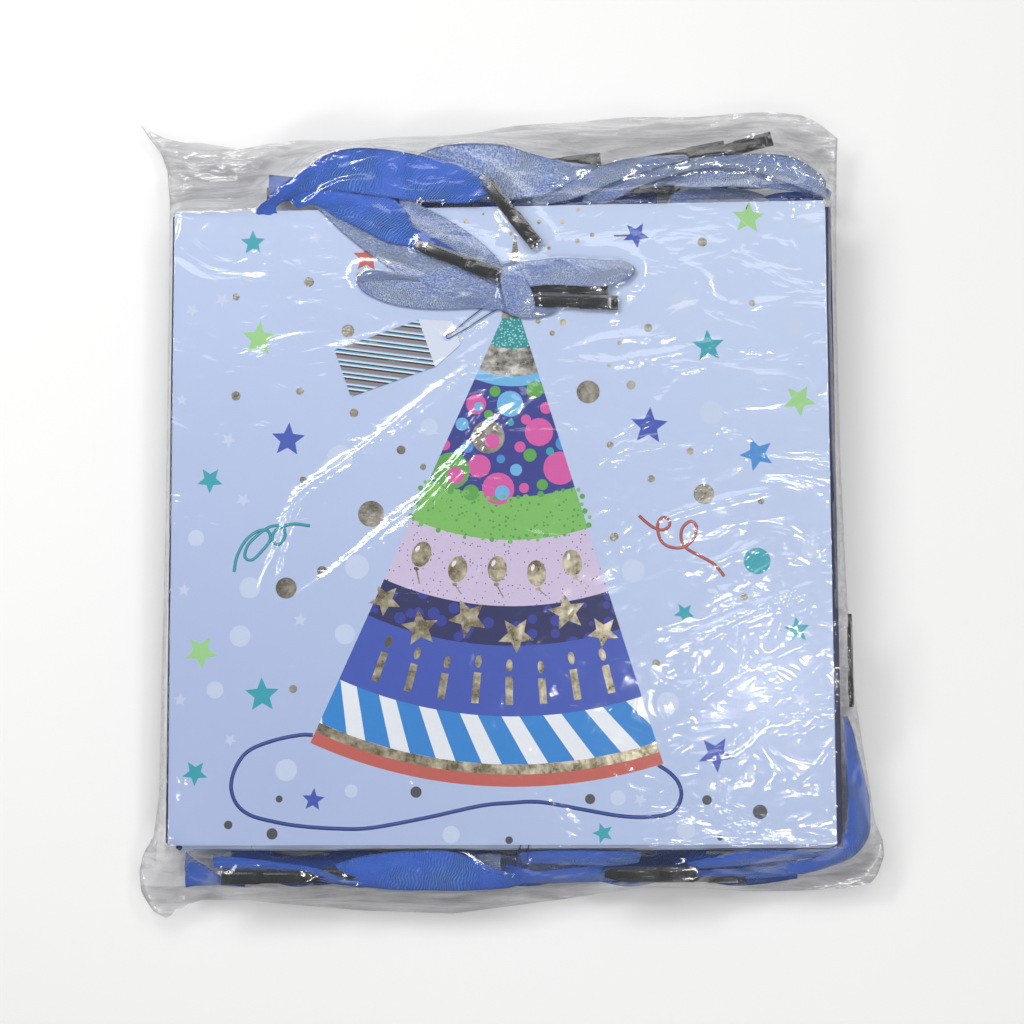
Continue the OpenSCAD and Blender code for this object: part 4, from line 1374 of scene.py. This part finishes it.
# %% Relax the film
SIDE_EDGE, SEALED_EDGE, MOUTH_EDGE = 11.0, 9.0, 9.0
SAG, RELAX_STEPS = 0.03, 700
film_z = np.full(top_x.shape, 27.0)
edge = np.zeros(top_x.shape, bool)
edge[:, 0] = edge[:, -1] = edge[0, :] = edge[-1, :] = True
film_z[:, 0] = film_z[:, -1] = SIDE_EDGE
film_z[0, :] = SEALED_EDGE
rim = MOUTH_EDGE + 2.0 * np.sin(top_x[-1] / 17) + 1.4 * np.sin(top_x[-1] / 7.3 + 1)
film_z[-1, :] = rim
fade = np.clip((ROWS - 0.94) / 0.06, 0, 1)
film_z[:, 0] = SIDE_EDGE * (1 - fade) + rim[0] * fade
film_z[:, -1] = SIDE_EDGE * (1 - fade) + rim[-1] * fade
for _ in range(RELAX_STEPS):
    mean = film_z.copy()
    mean[1:-1, 1:-1] = neighbour_mean(film_z)
    film_z = np.where(edge, film_z, np.maximum(mean - SAG, floor_of_film))
print("film from", round(film_z.min(), 1), "to", round(film_z.max(), 1), "mm")

# %% [markdown]
# The creases follow lines that run down across the print from the bow, in fans over the right
# side, along the edges, and in crumples on the loose skirt. Each is a ridge that fades at its
# ends. Many short ones are scattered by a seeded generator, in the directions of the film's pull.

# %% Creases
CREASES = [([(-12.6, 57.9), (-32, 44), (-52, 28), (-67.8, 16.5), (-83.5, 4.7), (-89.4, -13),
             (-95.3, -30.7), (-105, -34.7)], 1.4, 2.2),
           ([(17, 52), (-12.6, 26.4), (-32.3, 4.7), (-52, -11), (-71.7, -26.8),
             (-91.4, -38.6)], 1.5, 2.4),
           ([(-84, -2), (-90, -12), (-96, -26), (-100, -36)], 1.0, 0.9),
           ([(-9, 66), (-16, 56), (-30, 47), (-45, 36)], 0.8, 0.9),
           ([(56, -6), (72, -1), (92, 4), (106, 6)], 0.9, 1.1),
           ([(96, -20), (108, -20), (118, -24)], 0.8, 1.0),
           ([(56, -60), (82, -46), (100, -38), (122, -30)], 1.1, 1.2),
           ([(66, -44), (84, -34), (98, -26)], 1.0, 1.6),
           ([(64, -98), (84, -96), (94, -90), (108, -78)], 1.0, 1.1),
           ([(2, 74), (-14, 62), (-34, 52)], 0.5, 1.3), ([(22, 62), (44, 67), (66, 66)], 0.7, 1.3),
           ([(16, 58), (34, 57), (60, 60), (86, 66)], 0.6, 1.5),
           ([(30, 72), (47, 77), (50, 86)], 0.6, 1.1),
           ([(62, 100), (78, 92), (82, 82), (95, 78)], 0.6, 1.4),
           ([(94, 78), (107, 81), (118, 84)], 0.6, 1.2), ([(52, 104), (66, 112)], 0.4, 1.2),
           ([(-6, 50), (-14, 36), (-20, 24)], 0.7, 1.4),
           ([(70, -26), (92, -18), (112, -10)], 0.7, 1.5),
           ([(66, -40), (90, -30), (118, -16)], 0.7, 1.5),
           ([(72, -56), (94, -44), (120, -36)], 0.8, 1.6),
           ([(76, -66), (88, -50), (96, -34)], 0.6, 1.3),
           ([(64, -84), (90, -66), (122, -52)], 0.7, 1.7),
           ([(60, -108), (86, -92), (108, -74), (124, -60)], 0.7, 1.6),
           ([(80, -100), (96, -88), (104, -76)], 0.6, 1.2), ([(60, -96), (70, -92)], 0.6, 1.3),
           ([(88, -42), (92, -56), (86, -70)], 0.6, 1.3),
           ([(104, -30), (106, -46), (100, -58)], 0.6, 1.3),
           ([(-136, 128), (-137, 60), (-137.5, -20), (-138, -90), (-139, -140)], 1.1, 1.4),
           ([(-134, 100), (-135.5, 20), (-135, -60), (-136, -120)], 0.6, 1.2),
           ([(129.6, 120), (129.8, 40), (130.4, -30), (133, -76)], 0.6, 1.1),
           ([(-130, -96), (-128, -110), (-131, -126)], 0.7, 1.3),
           ([(110, -126), (124, -128)], 0.6, 1.2),
           ([(-140, -134), (-133, -142), (-137, -152)], 1.2, 1.5),
           ([(-143, -142), (-134, -150), (-131, -155)], 0.9, 1.3),
           ([(-142, 150), (-132, 140), (-120, 132), (-96, 128)], 1.4, 1.9),
           ([(-134, 146), (-112, 140), (-84, 139), (-60, 146)], 1.0, 1.6),
           ([(-132, 134), (-118, 127), (-102, 124)], 1.0, 1.5),
           ([(-128, 126), (-110, 133), (-92, 136)], 0.9, 1.4),
           ([(-20, 148), (10, 149.5), (46, 153)], 1.0, 1.5),
           ([(30, 148), (62, 151), (96, 154)], 1.0, 1.5),
           ([(96, 150), (112, 144), (122, 132)], 1.1, 1.5),
           ([(84, 155), (104, 150), (118, 152)], 0.9, 1.3),
           ([(120, 150), (126, 138), (128, 122)], 1.0, 1.3)]
seeded = np.random.default_rng(41)
# region: x and y range, direction in degrees, count, length, height, width
FANS = [((-128, -60), (126, 151), 6, 30, (14, 44), (0.8, 1.9), (0.9, 1.5)),
        ((-10, 126), (142, 160), 10, 40, (8, 30), (0.6, 1.6), (0.8, 1.4)),
        ((96, 130), (118, 156), 110, 16, (6, 18), (0.4, 1.0), (0.8, 1.3)),
        ((60, 126), (-112, -8), 28, 24, (8, 30), (0.2, 0.6), (0.9, 1.6)),
        ((-20, 90), (30, 84), 25, 14, (8, 26), (0.2, 0.6), (0.9, 1.5)),
        ((-130, 128), (-156, -132), 4, 40, (10, 34), (0.6, 1.5), (0.8, 1.3)),
        ((-141, -135), (-130, 130), 89, 16, (20, 60), (0.3, 0.8), (0.8, 1.2)),
        ((-124, 60), (-124, 110), 38, 16, (14, 40), (0.12, 0.3), (1.2, 2.2)),
        ((129, 140), (-140, -60), 80, 12, (12, 30), (0.4, 0.9), (0.8, 1.3)),
        ((-145, -128), (-158, -130), 60, 12, (6, 18), (0.5, 1.1), (0.8, 1.2))]


def short_creases():
    made = []
    for across, along, lean, count, reach, tall, thick in FANS:
        for _ in range(count):
            x, y = seeded.uniform(*across), seeded.uniform(*along)
            angle = math.radians(lean + seeded.normal(0, 12))
            half = seeded.uniform(*reach) / 2
            bend = seeded.normal(0, half * 0.16)
            dx, dy = math.cos(angle), math.sin(angle)
            made.append(([(x - dx * half, y - dy * half), (x - dy * bend, y + dx * bend),
                          (x + dx * half, y + dy * half)],
                         seeded.uniform(*tall), seeded.uniform(*thick)))
    return made


def ridge(points, tall, thick):
    """A ridge on the film's grid: a sharp crest along points, lower towards both ends."""
    line = curve_through(points, 2.0)
    low, high = line.min(axis=0) - 6, line.max(axis=0) + 6
    near = (top_x > low[0]) & (top_x < high[0]) & (top_y > low[1]) & (top_y < high[1])
    px, py = top_x[near], top_y[near]
    best, where = np.full(px.shape, 1e9), np.zeros(px.shape)
    for k in range(len(line) - 1):
        ax, ay = line[k]
        dx, dy = line[k + 1] - line[k]
        t = np.clip(((px - ax) * dx + (py - ay) * dy) / (dx * dx + dy * dy + 1e-9), 0, 1)
        d = np.hypot(px - ax - t * dx, py - ay - t * dy)
        closer = d < best
        best[closer], where[closer] = d[closer], ((k + t) / (len(line) - 1))[closer]
    added = np.zeros(top_x.shape)
    ends = np.sin(np.pi * np.clip(where, 0, 1)) ** 0.6
    added[near] = tall * ends * np.exp(-(best / thick) ** 1.5)
    return added


creases = np.zeros(top_x.shape)
for points, tall, thick in CREASES + short_creases():
    creases = np.maximum(creases, ridge(points, tall, thick))
swell = np.vectorize(lambda x, y: noise.noise(Vector((x * 0.035, y * 0.05, 3.0))))(top_x, top_y)
swell = 0.35 * (swell + 1)
from_edge = np.minimum(TOP_COLUMNS, 1 - TOP_COLUMNS)[None, :]
inside = np.minimum(from_edge, ROWS[:, None]) * 60
film_top = film_z + (creases + swell) * np.clip(inside, 0, 1)
print(len(CREASES), "long creases and", sum(fan[3] for fan in FANS), "short ones")

# %% [markdown]
# The under layer lies flat on the table and curls up to meet the top layer along both sides and
# at the sealed end. The two layers are one tube of faces, open at the mouth.

# %% Join the layers
CURL = 3.6
UNDERSIDE, MOUTH_ROWS = 0.16, 12
under_x, under_y = film_grid(UNDER_COLUMNS, ROWS)
from_side = np.minimum(under_x - under_x[:, :1], under_x[:, -1:] - under_x)
from_end = under_y - under_y[:1, :]
side_curl = np.clip(1 - from_side / CURL, 0, 1) ** 1.6
end_curl = np.clip(1 - from_end / (2 * CURL), 0, 1) ** 1.6
side_edge = film_top[:, :1] + UNDER_COLUMNS[None, :] * (film_top[:, -1:] - film_top[:, :1])
film_under = UNDERSIDE + np.maximum(side_curl * (side_edge - UNDERSIDE),
                                    end_curl * (SEALED_EDGE - 0.3))
film_under[-MOUTH_ROWS:, :] += np.linspace(0, 1.1, MOUTH_ROWS)[:, None] * (1 + np.sin(
    under_x[-MOUTH_ROWS:, :] / 11)) / 2

points, faces = [], []
around = len(TOP_COLUMNS) + len(UNDER_COLUMNS) - 2
for j in range(len(ROWS)):
    points += [(x * MM, y * MM, z * MM) for x, y, z in zip(top_x[j], top_y[j], film_top[j])]
    points += [(x * MM, y * MM, z * MM) for x, y, z in
               zip(under_x[j][-2:0:-1], under_y[j][-2:0:-1], film_under[j][-2:0:-1])]
for j in range(len(ROWS) - 1):
    for k in range(around):
        a, b = j * around + k, j * around + (k + 1) % around
        faces.append((a, b, b + around, a + around))
film = piece_from("film", points, faces)
loose = film.data.attributes.new("loose", "FLOAT", "POINT")
empty = (found < 2).astype(float)
for _ in range(6):
    empty[1:-1, 1:-1] = neighbour_mean(empty)
empty = np.maximum(empty, 0.85 * (found < 2))
for j in range(len(ROWS)):
    for k in range(len(TOP_COLUMNS)):
        loose.data[j * around + k].value = float(empty[j, k])
smooth_shade(film)
print("film", len(film.data.polygons), "faces")

# %% [markdown]
# Clear film mirrors the lamps. Where it is loose and crumpled, grey streaks are painted into the
# colour it lets through, as painted shade of its folds. The shader lets light straight through and
# adds a sharp reflection by Fresnel, on the side that faces out. A fine ripple in the normal
# breaks the reflections into the small glints that crinkled film has.

# %% Film finish
FILM_INDEX = 1.8


def clear_film():
    made, tree, shader = material("clear film")
    tree.nodes.remove(shader)
    slack = add_node(tree, "ShaderNodeAttribute", attribute_name="loose").outputs["Fac"]
    place = object_place(tree)
    pulled = add_node(tree, "ShaderNodeMapping", {"Vector": place, "Scale": (34.0, 62.0, 34.0),
                                                  "Rotation": (0, 0, 0.5)}).outputs[0]
    ripple = add_node(tree, "ShaderNodeTexNoise",
                      {"Vector": pulled, "Scale": 1.0, "Detail": 3.0, "Roughness": 0.45,
                       "Distortion": 1.2}).outputs["Fac"]
    long_way = add_node(tree, "ShaderNodeMapping", {"Vector": place, "Scale": (26.0, 240.0, 120.0),
                                                    "Rotation": (0, 0, 0.12)}).outputs[0]
    wrinkle = add_node(tree, "ShaderNodeTexNoise",
                       {"Vector": long_way, "Scale": 1.0, "Detail": 4.0, "Roughness": 0.6,
                        "Distortion": 0.8}).outputs["Fac"]
    depth = calculate(tree, "MULTIPLY_ADD",
                      calculate(tree, "MULTIPLY", wrinkle, slack), 0.9, ripple)
    normal = bump(tree, depth, 0.004, 0.35)
    gloss = add_node(tree, "ShaderNodeBsdfGlossy", {"Color": (1, 1, 1, 1), "Roughness": 0.12,
                                                    "Normal": normal})
    # painted shade: grey streaks along the wrinkles of the loose film, much darker than the film's
    # own faint grey
    shade_streak = stretch(tree, wrinkle, 0.40, 0.60)
    grey = calculate(tree, "MULTIPLY", calculate(tree, "MULTIPLY_ADD", shade_streak, 0.55, 0.45), slack)
    shaded_tint = blend_colours(tree, grey, (0.985, 0.985, 0.987, 1), (0.60, 0.60, 0.615, 1))
    clear = add_node(tree, "ShaderNodeBsdfTransparent", {"Color": shaded_tint})
    behind = add_node(tree, "ShaderNodeNewGeometry").outputs["Backfacing"]
    fresnel = add_node(tree, "ShaderNodeFresnel", {"IOR": FILM_INDEX, "Normal": normal}).outputs[0]
    mirror = calculate(tree, "MULTIPLY", fresnel, calculate(tree, "SUBTRACT", 1.0, behind))
    mixed = add_node(tree, "ShaderNodeMixShader", {0: mirror, 1: clear.outputs[0],
                                                   2: gloss.outputs[0]})
    tree.links.new(mixed.outputs[0], tree.nodes["Material Output"].inputs["Surface"])
    return made


give(film, clear_film())
bpy.context.scene.cycles.transparent_max_bounces = 24
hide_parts("film_bag")
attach(film, "film")
film_area = sum(face.area for face in film.data.polygons)
print("film area", round(film_area, 4), "m2")

# %% [markdown]
# ## Floor and light
# The pack lies on a pale floor in soft light. A wide lamp overhead lights the print evenly. Small
# bright lamps low around the pack are there for the film: a crease only shows when it mirrors
# something much brighter than the rest.

# %% Floor
deselect()
bpy.ops.mesh.primitive_plane_add(size=8, location=(0, 0, -0.0002))
floor = bpy.context.object
floor.name = "floor"
made, tree, shader = material("floor paper", Roughness=0.9)
cloud = add_node(tree, "ShaderNodeTexNoise", {"Vector": object_place(tree), "Scale": 3.0})
soft = blend_colours(tree, calculate(tree, "MULTIPLY", cloud.outputs["Fac"], 0.4),
                     (0.985, 0.985, 0.975, 1), (0.965, 0.965, 0.955, 1))
feed(tree, shader, Base_Color=soft)
give(floor, made)

# %% Lamps
# name, place, length and width, watts
LAMPS = [("overhead", (0.1, 0.95, 1.45), (1.4, 0.7), 5.2),
         ("glare", (0.142, -0.046, 0.92), (0.05, 0.05), 0.36),
         ("far left", (-0.42, 0.50, 0.78), (0.50, 0.20), 3.4),
         ("near right", (0.30, -0.46, 0.80), (0.40, 0.12), 2.0),
         ("far right", (0.42, 0.30, 0.86), (0.16, 0.08), 0.7),
         ("left", (-0.62, 0.06, 0.66), (0.30, 0.14), 0.9)]
WORLD_STRENGTH = 0.25
for name, place, (length, width), power in LAMPS:
    bpy.ops.object.light_add(type="AREA", location=place)
    lamp = bpy.context.object
    lamp.name = name
    lamp.data.shape = "RECTANGLE"
    lamp.data.size, lamp.data.size_y = length, width
    lamp.data.energy = power
    lamp.rotation_euler = Vector(place).to_track_quat("Z", "Y").to_euler()
world = bpy.data.worlds.new("studio")
bpy.context.scene.world = world
world.use_nodes = True
background = world.node_tree.nodes["Background"]
background.inputs["Color"].default_value = (1.0, 1.0, 1.0, 1)
background.inputs["Strength"].default_value = WORLD_STRENGTH
bpy.context.scene.view_settings.view_transform = "Standard"
print(len(LAMPS), "lamps")
